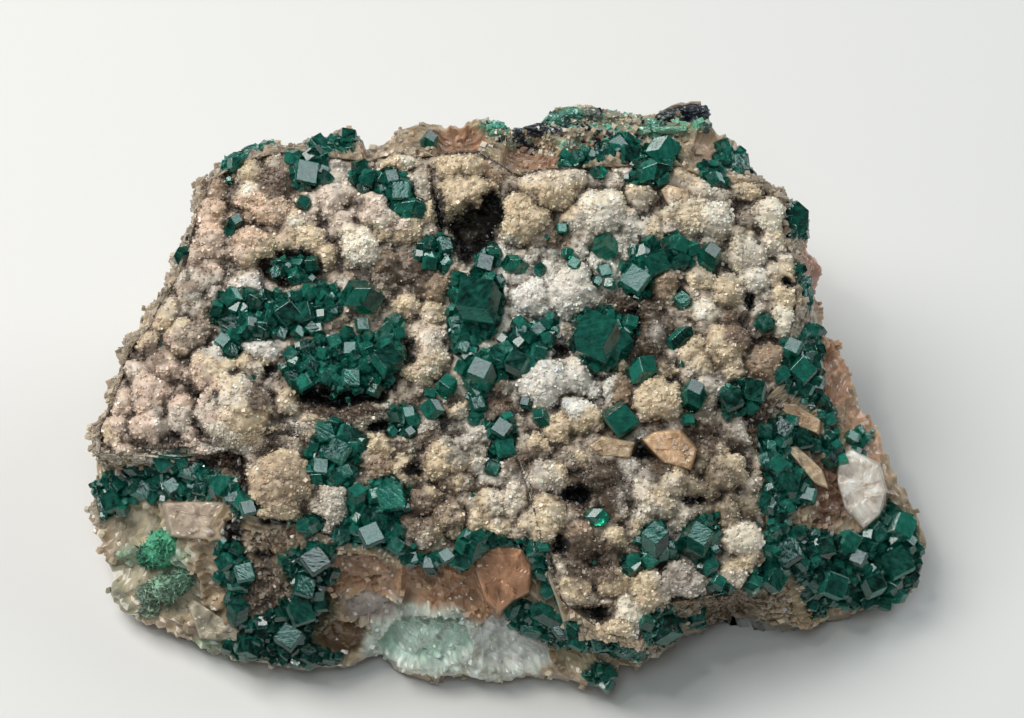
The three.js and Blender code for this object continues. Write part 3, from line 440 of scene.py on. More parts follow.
# Single crystals by group: place, width and length in millimetres, then turn, lean and spin in degrees.
DIOPTASE = {name: rows for (name,), rows in read_lists("""
    dioptase_back_left: 308 172 6.4 6.6 35 39 0, 317 143 4 4.4 70 20 20, 347 139 4.3 4.8 110 15 40,
        327 152 2.8 3.2 10 30 10;
    dioptase_upper_row: 392 176 3.6 4 60 40 0, 400 191 5.2 5.4 130 39 10, 408 207 3.6 6.8 8 20 30,
        366 176 3 3.4 100 25 20;
    dioptase_upright: 429 142 3.4 4.7 90 15 30;
    dioptase_left_field: 233 298 4.2 5.2 170 25 0, 228 324 4.3 4.6 60 39 5, 255 302 3.2 3.8 20 30 40,
        262 327 3 3.4 120 39 0, 288 312 5.8 6 75 45 10, 282 333 2.8 3.2 20 39 0,
        303 314 4.8 5.6 140 30 20, 320 290 3.2 3.8 60 40 15, 328 299 2.8 3.2 0 30 30,
        312 328 3 3.4 90 39 0, 333 311 2.4 3 40 30 0;
    dioptase_lying_prism: 362 297 6.1 8.8 0 14 30;
    dioptase_striped: 362 325 3.6 4 50 30 0, 387 328 2.9 3.4 80 39 10, 397 321 2.9 3.6 110 20 0,
        382 338 3.2 3.8 160 30 20;
    dioptase_lower_field: 292 354 2.8 3.2 40 39 0, 306 348 3.2 3.6 100 39 10, 312 366 3.2 3.6 20 30 0,
        292 376 3.4 3.8 60 39 5, 304 384 4 4.4 150 30 25, 325 375 3.2 3.8 10 35 40, 334 342 3.6 4 70 25 0,
        350 349 3.6 4 130 35 10, 386 362 6.5 8 75 20 10, 352 377 4.8 5 45 39 0, 392 339 2.4 3 0 20 0;
    dioptase_pointed: 477 303 9.6 12.2 118 24 12, 485 262 4.7 5 30 39 0, 492 251 2.6 3 100 30 0;
    dioptase_lying_small: 515 265 3.8 5.6 0 15 30, 540 270 2.4 3.4 90 20 0;
    dioptase_end_on: 605 247 5.2 4.8 80 84 0, 605 270 3.2 3.4 60 39 0, 597 281 2.2 2.8 20 39 0,
        610 284 2.6 3 130 20 0;
    dioptase_bright_block: 635 279 6.6 7.2 100 39 0, 656 262 5.8 6.4 60 39 15, 637 252 3.2 3.8 30 20 0,
        677 244 4.4 5.6 10 20 20, 681 261 3.6 4.2 80 30 30;
    dioptase_upright_right: 709 257 4.3 6.2 85 20 30;
    dioptase_great_crystal: 594 339 9.8 12.4 102 22 14, 617 345 5.4 7.6 72 28 18, 630 322 3.4 4.2 30 30 0;
    dioptase_middle_row: 520 332 3.6 4.2 40 35 0, 538 329 3.4 3.8 80 39 0, 505 349 3.4 4.4 70 39 5,
        516 364 5.4 6.8 100 30 10, 538 352 4 4.4 20 35 20;
    dioptase_prism: 482 374 5.6 8.4 110 34 0, 477 404 3.6 4.2 60 30 0, 474 419 2.9 3.4 100 20 10;
    dioptase_pair: 433 409 4.2 5.6 170 25 0, 446 386 4 5.2 85 15 20, 430 393 2.6 3 30 30 0;
    dioptase_stacked: 502 428 4.7 5.2 100 35 0, 504 448 4.7 5.2 50 25 10, 493 468 3.4 3.8 20 39 0;
    dioptase_broad: 620 419 7.2 7.6 75 39 12;
    dioptase_right_small: 765 323 4 4.6 70 35 0;
    dioptase_tilted_short: 680 338 3.2 6.2 45 15 30;
    dioptase_tilted_long: 641 370 4.8 7.4 50 20 10;
    dioptase_striated: 693 396 4.5 6.8 95 15 30, 688 420 2.8 3.4 50 30 0;
    dioptase_back_rim: 577 156 3.4 3.8 60 30 0, 593 155 2.7 3.2 20 39 0, 606 150 2.8 3.2 120 20 0,
        618 145 4.3 4.8 80 35 0, 629 154 4.7 5.2 30 30 20, 598 172 2.6 4.2 0 20 0;
    dioptase_back_peak: 662 150 5.6 8 8 25 0, 652 172 4.7 7.4 20 20 30;
    dioptase_back_right: 740 163 5 5.6 50 39 0, 726 152 3.2 3.8 100 20 0;
    dioptase_back_leaf: 716 180 3.4 4.6 160 25 0, 703 168 3.2 3.6 60 30 0;
    dioptase_right_rim: 797 222 4.6 8 88 18 0;
    dioptase_right_steps: 808 332 4 4.6 60 35 0, 793 347 4.3 4.8 110 30 0, 800 370 6.1 6.6 80 39 20,
        815 382 2.9 3.4 20 30 0;
    dioptase_dark_pair: 731 400 5.4 6 70 30 0, 753 392 5.4 6.2 110 25 20;
    dioptase_right_ladder: 765 430 3.6 4.2 40 39 0, 782 428 4.7 5 100 35 0, 803 440 4.7 5.2 60 30 0,
        776 465 4.7 5.4 80 35 10, 790 481 5 5.4 30 35 0, 808 495 4 4.6 120 30 0, 786 508 4 4.4 70 30 0,
        829 420 3.3 3.8 70 30 0, 836 450 2.6 4.6 85 20 0;
    dioptase_left_band: 165 462 4.6 5.2 170 30 0, 133 469 2.8 4.6 0 20 0, 112 502 4.8 5.6 160 30 0,
        142 490 4.2 5.6 20 35 0, 172 486 4 4.4 80 35 0, 190 470 4.8 5.4 30 30 0, 201 487 4 4.4 120 39 0,
        225 487 4.4 6.2 175 25 10, 248 508 4 4.4 60 30 0;
    dioptase_mid_left_nest: 326 432 4.7 5 60 39 0, 346 433 4 4.6 20 30 0, 337 451 6.1 6.6 100 35 10,
        320 466 4.3 4.8 40 35 0, 345 472 3.8 4.2 70 39 0, 361 444 2.6 3.6 0 15 0;
    dioptase_bright_square: 356 500 3.8 7.2 80 20 0, 392 497 7 7.4 55 39 0, 377 521 3.8 4.2 20 30 0;
    dioptase_lower_left: 316 560 6.5 7 80 35 0, 305 586 5.4 6 30 35 0, 300 612 6.5 7 60 30 10,
        289 636 6.3 6.8 100 35 0, 308 655 4.3 4.8 20 20 0, 248 646 4.6 6.4 10 20 20,
        238 612 4.6 7.2 80 20 0;
    dioptase_small_left: 245 572 5 5.4 60 35 0, 226 562 4 4.8 170 20 0;
    dioptase_front_band: 340 535 3.4 3.8 30 39 0, 371 535 5.8 6.2 70 30 0, 396 545 3.8 4.2 10 35 0,
        412 558 3 3.4 60 30 0;
    dioptase_front_tooth: 476 546 3.6 7.4 72 20 0, 460 562 3.6 4 30 30 0, 446 556 3.6 4 80 30 0;
    dioptase_front_right: 512 609 3 5.2 70 15 0, 547 615 3.9 8 150 20 0, 530 627 3.4 3.8 40 30 0,
        561 630 4 4.4 80 35 0, 577 641 4.2 4.8 20 30 0, 600 643 4.4 4.8 60 35 0, 624 650 4 4.6 100 25 0;
    dioptase_hub: 655 540 5.6 8 92 25 0, 633 562 3.8 4.2 30 35 0, 650 560 3.8 4.2 80 39 0;
    dioptase_hub_right: 695 541 6.2 8 88 20 30, 710 567 3.2 4.6 70 20 0;
    dioptase_front_foot: 664 628 6.6 8.6 165 30 0, 696 616 4 4.4 60 30 0;
    dioptase_right_mass: 788 552 6.4 7.2 165 30 0, 772 580 5.2 6.6 10 25 0, 825 547 4.7 5.4 60 35 0,
        848 541 4.8 6.4 15 35 0, 832 584 6.6 7.4 20 30 10, 806 594 3.6 4 80 35 0, 858 558 4.3 4.8 110 30 0;
    dioptase_right_corner: 897 562 7.4 8 75 39 0, 872 584 5.2 7 60 39 15, 899 527 6.2 7.4 20 20 0,
        878 536 3.8 4.2 80 30 0
""")}
CRUST_DIOPTASE = read_rows("""
    303 203 3.2 3.6 100 30 15, 232 227 3 5.8 68 14 24, 181 256 2.9 4.5 60 10 10, 445 246 3.6 4.2 60 30 0,
    431 258 2.8 3.4 150 20 20, 232 350 2.9 3.8 20 30 0, 562 228 2.7 3 45 39 0, 574 263 3 3.4 100 39 0,
    567 253 2.4 3 30 20 10, 456 322 3.4 3.8 60 39 0, 463 346 3.2 3.8 20 39 0, 400 418 3.2 3.6 30 39 0,
    410 432 2.6 3 80 30 0, 392 431 2.6 3 0 30 0, 526 403 2.6 3.4 120 30 0, 541 419 3 4.9 130 20 20,
    597 517 3.6 5.2 0 20 0, 682 300 3.4 4.4 90 40 0
""")
# Painted shade under a field: the rock's dark green as it looks through the crystals, in linear light.
FIELD_SHADE_GREEN = np.array([0.004, 0.06, 0.042])


def inside(x, y, corners):
    """True inside a polygon: an odd number of its sides cross the level ray to the right."""
    odd = np.zeros(np.shape(x), bool)
    for (ax, ay), (bx, by) in zip(corners, corners[1:] + corners[:1]):
        crosses = (ay > y) != (by > y)
        odd ^= crosses & (x < (bx - ax) * (y - ay) / ((by - ay) or 1) + ax)
    return odd


def in_fields(x, y):
    """True inside any of the fields of dioptase."""
    return np.any([inside(x, y, corners) for corners in GREEN_FIELDS], axis=0)


# Islands of druse on the wall: the colour on the screen, then the corners in the picture. The darkest two,
# under the crust's overhang on the left and in the notch on the right, are painted shadow.
WALL_DRUSE_AND_SHADE = [(corners, screen) for screen, corners in read_lists("""
    150 134 120: 240 548, 262 560, 280 565, 283 578, 298 588, 282 600, 262 614, 246 616, 242 600, 252 586,
        258 574, 252 560;
    128 106 88: 250 532, 290 522, 302 530, 284 548, 262 550, 250 542;
    200 172 138: 782 585, 796 582, 806 600, 824 622, 800 627, 784 612;
    150 132 112: 846 582, 862 580, 866 600, 850 604;
    226 222 216: 828 554, 848 552, 850 566, 832 567;
    205 182 150: 575 628, 600 626, 640 642, 612 642, 590 638;
    205 196 178: 88 505, 98 500, 104 520, 100 532, 92 520;
    215 205 190: 300 538, 322 534, 338 540, 316 545;
    122 106 88: 690 588, 745 590, 792 600, 785 624, 754 614, 725 620, 704 622;
    104 86 70: 738 416, 768 398, 786 400, 768 420, 764 462, 748 440;
    204 190 172: 92 448, 118 444, 190 446, 200 456, 134 466, 100 472;
    70 56 46: 190 452, 240 452, 248 470, 246 500, 238 474, 200 464
""")]


def on_islands(x, y):
    """True on any of the druse's islands, which no crystal of a field covers."""
    return np.any([inside(x, y, corners) for corners, _ in WALL_DRUSE_AND_SHADE], axis=0)


def jittered_rows(corners, spacing, low, high):
    """Crystals on a jittered grid inside a polygon: widths near the low end, lengths a little over."""
    xs, ys = np.array(corners, float).T
    x, y = np.meshgrid(np.arange(xs.min(), xs.max(), spacing), np.arange(ys.min(), ys.max(), spacing))
    x = (x + (random.random(x.shape) - 0.5) * spacing).ravel()
    y = (y + (random.random(y.shape) - 0.5) * spacing).ravel()
    keep = inside(x, y, corners) & ~on_islands(x, y)
    x, y = x[keep], y[keep]
    width = low + (high - low) * random.random(len(x)) ** 1.5
    length = width * (1.05 + 0.35 * random.random(len(x)))
    turn, lean = random.random(len(x)) * 180, 15 + random.random(len(x)) * 60
    return np.stack([x, y, width, length, turn, lean, random.random(len(x)) * 120], axis=-1)


random = np.random.default_rng(7)
single_rows = np.array([row for rows in DIOPTASE.values() for row in rows] + CRUST_DIOPTASE, float)
field_rows = [np.concatenate([jittered_rows(corners, *layer) for corners in GREEN_FIELDS])
              for layer in FIELD_LAYERS]
print("single crystals:", len(single_rows), " in fields:", [len(rows) for rows in field_rows])

# %% [markdown]
# The block under the crust is one closed skin, carried in rings from a dish under the crust, over the rim,
# down the broken wall and under the foot. Calcite breaks along its cleavage, so the wall's relief is coarse
# and fine steps of parallel planes, and the back has large tilted faces too. The masses listed here stand
# out from the front as flat-topped polygons.

# %% Masses of calcite that stand out from the wall
# How far the face stands out in millimetres, its colour on the screen, and its corners in the picture.
WALL_MASSES = [(corners, float(out), screen) for (out, *screen), corners in read_lists("""
    1.6 186 152 126: 330 552, 372 556, 400 572, 392 596, 345 590;
    2 196 158 128: 402 560, 440 556, 474 566, 480 604, 430 612, 404 600;
    2 208 194 184: 340 600, 372 592, 400 604, 392 624, 350 622;
    1.2 120 95 70: 318 640, 335 618, 368 630, 366 652, 340 656;
    2.4 210 230 216: 380 640, 400 616, 462 620, 474 648, 440 668, 396 662;
    2.6 246 246 238: 472 630, 500 612, 545 640, 550 664, 505 670, 476 662;
    1.8 195 180 150: 550 648, 578 646, 608 656, 602 680, 566 668;
    1.8 205 190 165: 106 512, 140 502, 162 520, 152 545, 108 550;
    2 185 175 150: 112 562, 150 558, 196 575, 204 612, 150 618, 118 600;
    1.4 170 150 125: 196 545, 232 540, 248 556, 236 600, 206 600;
    1 150 120 100: 255 600, 282 596, 286 640, 262 650;
    1.6 206 164 136: 822 400, 818 348, 838 356, 851 390, 846 408;
    1.4 216 178 150: 842 436, 846 392, 866 420, 882 446, 872 456;
    1.4 205 160 140: 806 236, 820 254, 820 280, 806 292, 800 262;
    1.6 190 155 135: 362 160, 366 144, 396 134, 404 150, 390 162;
    2.2 168 134 110: 436 154, 442 130, 462 128, 484 134, 478 154;
    2.6 178 144 120: 500 170, 508 140, 535 136, 562 142, 556 168;
    2 205 150 110: 560 152, 580 132, 604 138, 602 154;
    1.6 205 185 155: 630 144, 642 128, 668 126, 692 132, 690 146;
    2 210 180 155: 690 162, 698 132, 722 136, 740 150, 737 160;
    1 150 130 105: 700 585, 740 588, 762 606, 740 616, 700 612
""")]


def inside_depth(x, y, corners):
    """Distance inside a convex polygon in pixels: the least distance to the lines through its sides."""
    corners = np.array(corners, float)
    middle = corners.mean(axis=0)
    depth = np.full(np.shape(x), np.inf)
    for start, end in zip(corners, np.roll(corners, -1, axis=0)):
        normal = np.array([start[1] - end[1], end[0] - start[0]])
        normal = normal / np.hypot(*normal)
        normal = normal * np.sign((middle - start) @ normal)
        depth = np.minimum(depth, (x - start[0]) * normal[0] + (y - start[1]) * normal[1])
    return depth


# Stains and patches on the wall, and near-black ones that are painted shadow in its cavities and under
# overhangs: place, half width, half height, and colour on the screen.
WALL_STAINS_AND_SHADE = read_rows("""
    165 520 60 26 214 192 165, 120 590 30 30 160 160 140, 165 590 26 22 120 165 135,
    150 560 34 30 150 175 150, 215 650 30 14 150 165 140, 235 590 28 40 160 140 115,
    300 610 40 60 95 90 70, 340 575 26 20 190 156 130, 430 590 60 26 198 158 126,
    455 640 92 48 214 222 210, 430 642 40 20 176 212 190, 500 656 56 34 232 236 224,
    575 650 36 20 150 128 104, 480 600 26 20 204 166 134, 720 600 60 18 120 105 85,
    800 610 40 16 200 175 140, 860 520 40 60 216 190 164, 835 370 24 40 204 160 130,
    825 490 22 40 150 118 98, 870 430 24 40 212 172 146, 812 270 16 24 205 160 140,
    756 432 20 26 84 68 56, 744 418 14 14 60 48 40, 216 460 34 12 50 40 34, 246 482 8 26 40 32 28,
    535 131 30 10 50 55 75, 565 118 30 12 80 150 125, 608 118 36 12 150 140 115, 675 126 34 7 130 205 165,
    495 128 16 10 90 170 140, 535 142 30 7 175 200 165, 460 140 30 14 164 130 106,
    380 150 22 12 185 150 130, 540 155 30 14 176 140 114, 690 112 24 12 45 50 70,
    120 380 14 40 170 150 125, 232 530 13 14 30 24 20, 280 519 24 7 30 24 20, 268 553 13 5 34 28 24,
    262 585 22 26 120 104 90
""")


def blend_patches(colour, x, y, patches, wander_by):
    """Mixes patches into a colour: each is full in the middle of its ellipse and fades out past its edge."""
    for px, py, half_width, half_height, *screen in patches:
        distance = np.hypot((x - px) / half_width, (y - py) / half_height) + wander_by
        colour = mix(colour, to_linear(screen), (1 - smooth_step(distance, 0.7, 1.15))[..., None])
    return colour


# %% The block's skin
BLOCK_DIRECTIONS = 600
DISH_ROWS, WALL_ROWS, SKIRT_ROWS = 5, 58, 50
# The dish under the crust: shares of the crust's reach, its depth, and how far its rim lies under the skin.
DISH_FROM, DISH_TO = 0.25, 0.87
DISH_DEPTH, RIM_DEPTH = 9.0, 1.5
# The foot: its inset in front and behind, the rounds of smoothing, and the share of the skirt that rounds.
FOOT_INSET, BACK_FOOT_INSET = 8.0, 4.0
FOOT_ROUNDING = 160
ROUNDED_BY = 0.25
# The skirt isn't in the picture; its noise goes on over this many more rows of it.
SKIRT_PIXELS = 40
LEVEL = np.array([1.0, 1.0, 0])


def outwards(points):
    """Level unit vectors away from the upright line through the origin."""
    return unit(points * LEVEL)


def rounded_foot(waist):
    """The waist smoothed round, but in front kept inside the true one, and the foot that lies inside it."""
    rounded = waist.copy()
    for _ in range(FOOT_ROUNDING):
        rounded = (rounded + np.roll(rounded, 1, axis=0) + np.roll(rounded, -1, axis=0)) / 3
    in_front = waist[:, 1] < 0
    held_in = np.minimum(np.linalg.norm(waist[:, :2], axis=1) / np.linalg.norm(rounded[:, :2], axis=1), 1)
    rounded[:, :2] *= np.where(in_front, held_in, 1)[:, None]
    inset = np.where(in_front, FOOT_INSET, BACK_FOOT_INSET)[:, None]
    return rounded, (rounded - outwards(rounded) * inset) * LEVEL


def block_surface():
    """Rings of the block: dish, wall, and skirt to the foot; returns the points and their picture places."""
    direction = np.linspace(np.pi, -np.pi, BLOCK_DIRECTIONS, endpoint=False)
    crust, outline = reaches(direction)
    edge = crust * 0.985 + 2
    rim = np.maximum(outline, edge + 2)
    dish = np.linspace(DISH_FROM, DISH_TO, DISH_ROWS)[:, None] * edge
    wall = edge + np.linspace(0, 1, WALL_ROWS)[:, None] * (rim - edge)
    x, y = radial(direction, np.vstack([dish, wall]))
    height = skin_height(x, y)
    height[:DISH_ROWS] -= DISH_DEPTH
    height[DISH_ROWS] -= RIM_DEPTH
    points = sighted(x, y, height)
    waist = points[-1]
    rounded, foot = rounded_foot(waist)
    share = np.linspace(0, 1, SKIRT_ROWS + 1)[1:, None, None]
    upper = waist + (rounded - waist) * smooth_step(share, 0, ROUNDED_BY) * LEVEL
    skirt = mix(upper, foot, share)
    skirt_x = np.broadcast_to(x[-1], (SKIRT_ROWS, BLOCK_DIRECTIONS))
    skirt_y = y[-1] + share[..., 0] * SKIRT_PIXELS
    return np.concatenate([points, skirt]), np.vstack([x, skirt_x]), np.vstack([y, skirt_y])


def surface_normals(points):
    """Unit normals of a ring surface: the cross product of the steps along and between its rings."""
    along = np.roll(points, -1, axis=1) - np.roll(points, 1, axis=1)
    return unit(np.cross(along, np.gradient(points, axis=0)))


def smoothed_normals(points, rounds):
    """Normals averaged with their ring neighbours, so a relief along them doesn't cross itself."""
    normal = surface_normals(points)
    for _ in range(rounds):
        normal = normal + np.roll(normal, 1, axis=1) + np.roll(normal, -1, axis=1)
        normal[1:-1] = normal[1:-1] + normal[:-2] + normal[2:]
        normal = unit(normal)
    return normal


# Turns of the cleavage planes, the size in millimetres of a region with one turn, and the seed of its net.
CLEAVAGE_TURNS = 48
CLEAVAGE_REGION = 13.0
REGION_SEED = 9
# The way round the block in millimetres, and the stretch of it over which its end meets its start.
AROUND, CLOSING = 400.0, 30
# The percentile from which the broken faces are levelled off, and rows over which they set in.
LEVELLED_FROM = 92
FACES_EASE = 12
WAIST_ROW = DISH_ROWS + WALL_ROWS


def turn_matrices(count, seed):
    """Rotation matrices from normalised random quaternions."""
    quaternion = np.random.default_rng(seed).normal(size=(4, count))
    w, x, y, z = quaternion / np.linalg.norm(quaternion, axis=0)
    return np.stack([
        np.stack([1 - 2 * (y * y + z * z), 2 * (x * y - z * w), 2 * (x * z + y * w)], axis=-1),
        np.stack([2 * (x * y + z * w), 1 - 2 * (x * x + z * z), 2 * (y * z - x * w)], axis=-1),
        np.stack([2 * (x * z - y * w), 2 * (y * z + x * w), 1 - 2 * (x * x + y * y)], axis=-1),
    ], axis=-2)


def cleavage_steps(points, normals, region, step):
    """Distance along each normal to the next plane of three families of planes, turned by region."""
    turns = cleavage_turns[(region * CLEAVAGE_TURNS).astype(int)]
    best = np.full(region.shape, 1.4 * step)
    for family, spacing in enumerate((0.7, 1.0, 1.6)):
        direction = turns[..., family]
        along, slope = (points * direction).sum(axis=-1), (normals * direction).sum(axis=-1)
        along = along * np.where(slope < 0, -1, 1)
        gap = (np.ceil(along / (step * spacing)) * step * spacing - along) / np.maximum(np.abs(slope), 0.12)
        best = np.minimum(best, gap)
    return best - 0.5 * step


def wall_relief(around):
    """Coarse and fine cleavage steps, with a little roughness, for a given way round the block."""
    coarse = nearest_cell(around, along_mm, CLEAVAGE_REGION, REGION_SEED)
    fine = nearest_cell(around, along_mm, CLEAVAGE_REGION / 2.5, 10)
    relief = 0.8 * cleavage_steps(block_points, block_normals, coarse, 2.2)
    relief = relief + 0.5 * cleavage_steps(block_points, block_normals, fine, 0.9)
    return relief + 0.2 * block_relief(around, along_mm, 1.0, 13) - 0.2


def joined_round(relief):
    """A relief as a function of the way round, eased into its own start over the last stretch."""
    closing = smooth_step(around_mm, AROUND - CLOSING, AROUND)
    return mix(relief(around_mm), relief(around_mm - AROUND), closing)


def broken_faces(around):
    """Large tilted faces, up to a few millimetres into the rock, for a given way round the block."""
    faces = flakes(around, along_mm, 17.0, 0.22, 71) + flakes(around, along_mm, 6.0, 0.2, 74)
    return np.minimum(faces - np.percentile(faces, LEVELLED_FROM), 0)


cleavage_turns = turn_matrices(CLEAVAGE_TURNS, 5)
block_points, block_x, block_y = block_surface()
block_normals = smoothed_normals(block_points, 6)
row_steps = np.diff(block_points, axis=0, prepend=block_points[:1])
along_mm = np.cumsum(np.linalg.norm(row_steps, axis=-1), axis=0)
around_mm = np.broadcast_to(np.linspace(0, AROUND, BLOCK_DIRECTIONS), along_mm.shape)
steps, large = joined_round(wall_relief), joined_round(broken_faces)
stand_out = np.zeros_like(steps)
for corners, out, _ in WALL_MASSES:
    depth = inside_depth(block_x, block_y, corners)
    stand_out = np.maximum(stand_out, out * smooth_step(depth, -3, 4))
row = np.arange(len(block_points))[:, None]
last_row = len(block_points) - 1
covered = smooth_step(row, DISH_ROWS, DISH_ROWS + 4) * (1 - smooth_step(row, last_row - 5, last_row))
flat_face = 1 - 0.5 * smooth_step(stand_out, 0.3, 1.2)
by_waist = 0.4 + 0.6 * smooth_step(np.abs(row - WAIST_ROW), 0, 9)
relief = (steps * flat_face + stand_out) * covered * by_waist
on_skirt = smooth_step(row, WAIST_ROW, WAIST_ROW + FACES_EASE)
relief = relief * (1 - 0.4 * on_skirt) + large * on_skirt
block_points = block_points + block_normals * relief[..., None]
block_points[..., 2] = np.maximum(block_points[..., 2], 0)
print("wall relief", relief.min().round(2), "to", relief.max().round(2), "mm")

# %% Colours of the block
# Where the crust's edge is nearer than this to the outline, in pixels, the druse goes on over the wall.
NEAR_EDGE = 24.0
# That druse ends at this picture row and this picture column, and at this row of the skirt.
WALL_DRUSE_ABOVE, WALL_DRUSE_LEFT_OF, WALL_DRUSE_ROWS = 470, 800, 14
# Rows of the skirt between which the wall's colours give way to those of the broken back and foot.
SKIRT_FROM, SKIRT_TO = 2, 24
# Screen colours of the wall, of the druse that goes on over it, and of the broken back and foot.
WALL_COLOUR, WALL_DRUSE_COLOUR = (188, 168, 142), (182, 164, 142)
SKIRT_COLOURS = read_rows("196 176 152, 188 156 130, 204 200 188, 168 144 120, 206 186 162")
wobble = 0.25 * value_noise(block_x, block_y, 22, 5) + 0.15 * value_noise(block_x, block_y, 8, 6)
block_tint = np.ones(block_x.shape + (3,)) * to_linear(WALL_COLOUR)
# Stains, and painted shadow in the cavities and under overhangs.
block_tint = blend_patches(block_tint, block_x, block_y, WALL_STAINS_AND_SHADE, wobble)
for corners, _, screen in WALL_MASSES:
    share = smooth_step(inside_depth(block_x, block_y, corners) + 6 * wobble, -2, 3)[..., None]
    block_tint = mix(block_tint, to_linear(screen), share)
wander_mm = 2.5 * value_noise(around_mm, along_mm, 5, 81)
skirt_number = nearest_cell(around_mm + wander_mm, along_mm + wander_mm, 11.0, 82) * len(SKIRT_COLOURS)
skirt_tint = to_linear(SKIRT_COLOURS)[skirt_number.astype(int)]
skirt_tint = skirt_tint * (1 + 0.25 * value_noise(around_mm, along_mm, 9, 8))[..., None]
block_tint = mix(block_tint, skirt_tint, smooth_step(row - WAIST_ROW, SKIRT_FROM, SKIRT_TO)[..., None])
to_edge, to_rim = reaches(np.arctan2(block_y - RADIAL_CENTRE[1], block_x - RADIAL_CENTRE[0]))
on_wall = (row >= DISH_ROWS) & (row < WAIST_ROW + WALL_DRUSE_ROWS)
druse_on_wall = on_wall & (to_rim - to_edge < NEAR_EDGE)
druse_on_wall = druse_on_wall & (block_y < WALL_DRUSE_ABOVE) & (block_x < WALL_DRUSE_LEFT_OF)
mottled = 1 + 0.3 * value_noise(block_x, block_y, 14, 51)[..., None]
block_tint = np.where(druse_on_wall[..., None], to_linear(WALL_DRUSE_COLOUR) * mottled, block_tint)
# Painted shade: the wall is darker down in its cleavage steps.
crevice_shade = smooth_step(steps, -1.6, 0.6)[..., None]
block_tint = block_tint * (0.5 + 0.6 * crevice_shade)
facet_light = nearest_cell(around_mm, along_mm, 2.4, 14)[..., None]
block_tint = block_tint * (0.8 + 0.4 * facet_light)
# Painted shade: under a field of dioptase the wall is dark green.
shaded_under_field = in_fields(block_x, block_y)[..., None] & (row < WAIST_ROW)[..., None]
block_tint = np.where(shaded_under_field, FIELD_SHADE_GREEN, block_tint)
print("druse on", int(100 * druse_on_wall.mean()), "% of the block's points")

# %% The block as a mesh
all_points = with_middles(block_points)
all_points[-1, 2] = 0
triangles = close_rings(block_points)
calcite_block = new_piece("calcite_block", all_points, triangles, with_middles(block_tint))
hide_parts("calcite_base")
print("block triangles:", len(triangles))

# %% [markdown]
# The crust is a druse: balls of pale crystals grown over the block. Its surface is a height along the line
# of sight over every place in the picture, so it is a square grid carried out to the crust's edge. Large
# balls are listed one by one, smaller ones fill in from the repeatable relief, and hollows are pressed in.
# The grid is closed below.

# %% Balls and hollows of the druse
# Picture place, radius in pixels and shade: w white, c cream, b brown, g grey.
DRUSE_BALLS = """
252 196 15 w, 268 206 18 c, 253 245 20 c, 215 188 14 b, 212 212 14 c, 212 238 16 c, 250 170 14 c,
280 182 12 b, 290 222 13 w, 283 240 13 c, 310 240 16 c, 325 255 14 c, 345 228 12 w, 360 248 20 w,
330 200 18 w, 345 190 12 c, 380 212 22 w, 405 228 14 c, 385 232 14 c, 420 188 14 g, 430 212 12 c,
408 153 18 w, 395 165 12 c, 462 165 22 c, 465 200 25 c, 492 170 14 b, 487 188 10 c, 553 186 29 c,
522 220 25 c, 600 215 26 w, 578 220 16 c, 628 222 16 c, 640 196 16 c, 650 228 13 c, 673 215 12 c,
682 168 12 c, 690 222 16 c, 700 190 14 c, 715 225 20 w, 745 188 14 c, 735 182 10 c, 757 184 8 c,
770 216 20 w, 765 245 11 c, 740 240 12 c, 780 238 12 c, 390 265 14 b, 415 270 12 b, 430 290 14 b,
405 305 13 c, 430 315 12 c, 430 337 11 c, 425 362 23 c, 570 292 26 w, 535 300 20 w, 545 270 12 c,
660 285 16 b, 650 310 12 c, 655 340 14 b, 700 280 12 c, 725 290 18 c, 705 311 14 w, 728 318 10 b,
745 256 18 w, 752 281 15 w, 775 275 14 c, 790 265 10 c, 785 300 14 c, 785 325 16 w, 725 345 22 c,
765 366 18 b, 690 350 14 c, 700 365 12 c, 665 370 12 c, 545 385 26 w, 575 375 18 w, 580 415 18 c,
560 430 14 c, 655 402 22 c, 620 390 12 b, 165 315 18 c, 190 295 16 c, 185 340 18 c, 150 340 14 c,
165 365 18 c, 140 375 16 c, 190 375 12 c, 215 370 24 c, 245 365 12 c, 258 365 10 c, 270 355 10 c,
235 412 34 c, 150 395 19 c, 125 405 14 c, 115 430 16 c, 150 425 18 c, 185 415 18 c, 190 440 14 c,
125 455 12 w, 280 487 34 c, 310 425 13 c, 285 400 12 c, 330 510 22 g, 370 415 16 w, 380 445 16 c,
402 448 12 w, 445 462 22 c, 430 432 12 c, 380 470 14 b, 405 470 14 c, 425 500 14 c, 410 530 12 b,
460 410 12 c, 465 445 12 c, 475 460 12 w, 510 470 14 w, 455 485 12 c, 490 505 16 c, 450 520 16 c,
430 535 16 c, 480 525 14 c, 515 500 16 c, 545 476 17 c, 545 520 21 c, 500 528 14 c, 540 445 13 c,
580 460 10 c, 600 480 16 b, 615 505 14 c, 660 495 27 c, 680 515 14 c, 690 487 13 w, 675 470 10 c,
640 520 14 c, 580 540 17 b, 570 575 10 w, 575 590 14 c, 592 576 10 c, 612 582 16 c, 650 590 20 c,
675 580 16 b, 690 590 14 c, 630 612 14 w, 592 632 13 c, 620 632 16 c, 610 540 14 c, 712 452 16 c,
725 475 20 c, 697 486 12 c, 750 506 9 w, 730 518 14 c, 742 540 20 w, 752 562 16 c, 730 575 14 c,
765 545 10 w, 720 605 16 b, 479 335 14 w, 225 345 12 w, 260 345 13 w, 250 283 12 w, 233 318 10 w,
732 368 13 c, 500 385 12 c, 615 365 11 c, 470 235 10 c, 300 290 10 b, 370 395 12 c
"""
BALL_SHADES = {"w": (238, 224, 200), "c": (214, 192, 160), "b": (158, 134, 110), "g": (190, 178, 160)}
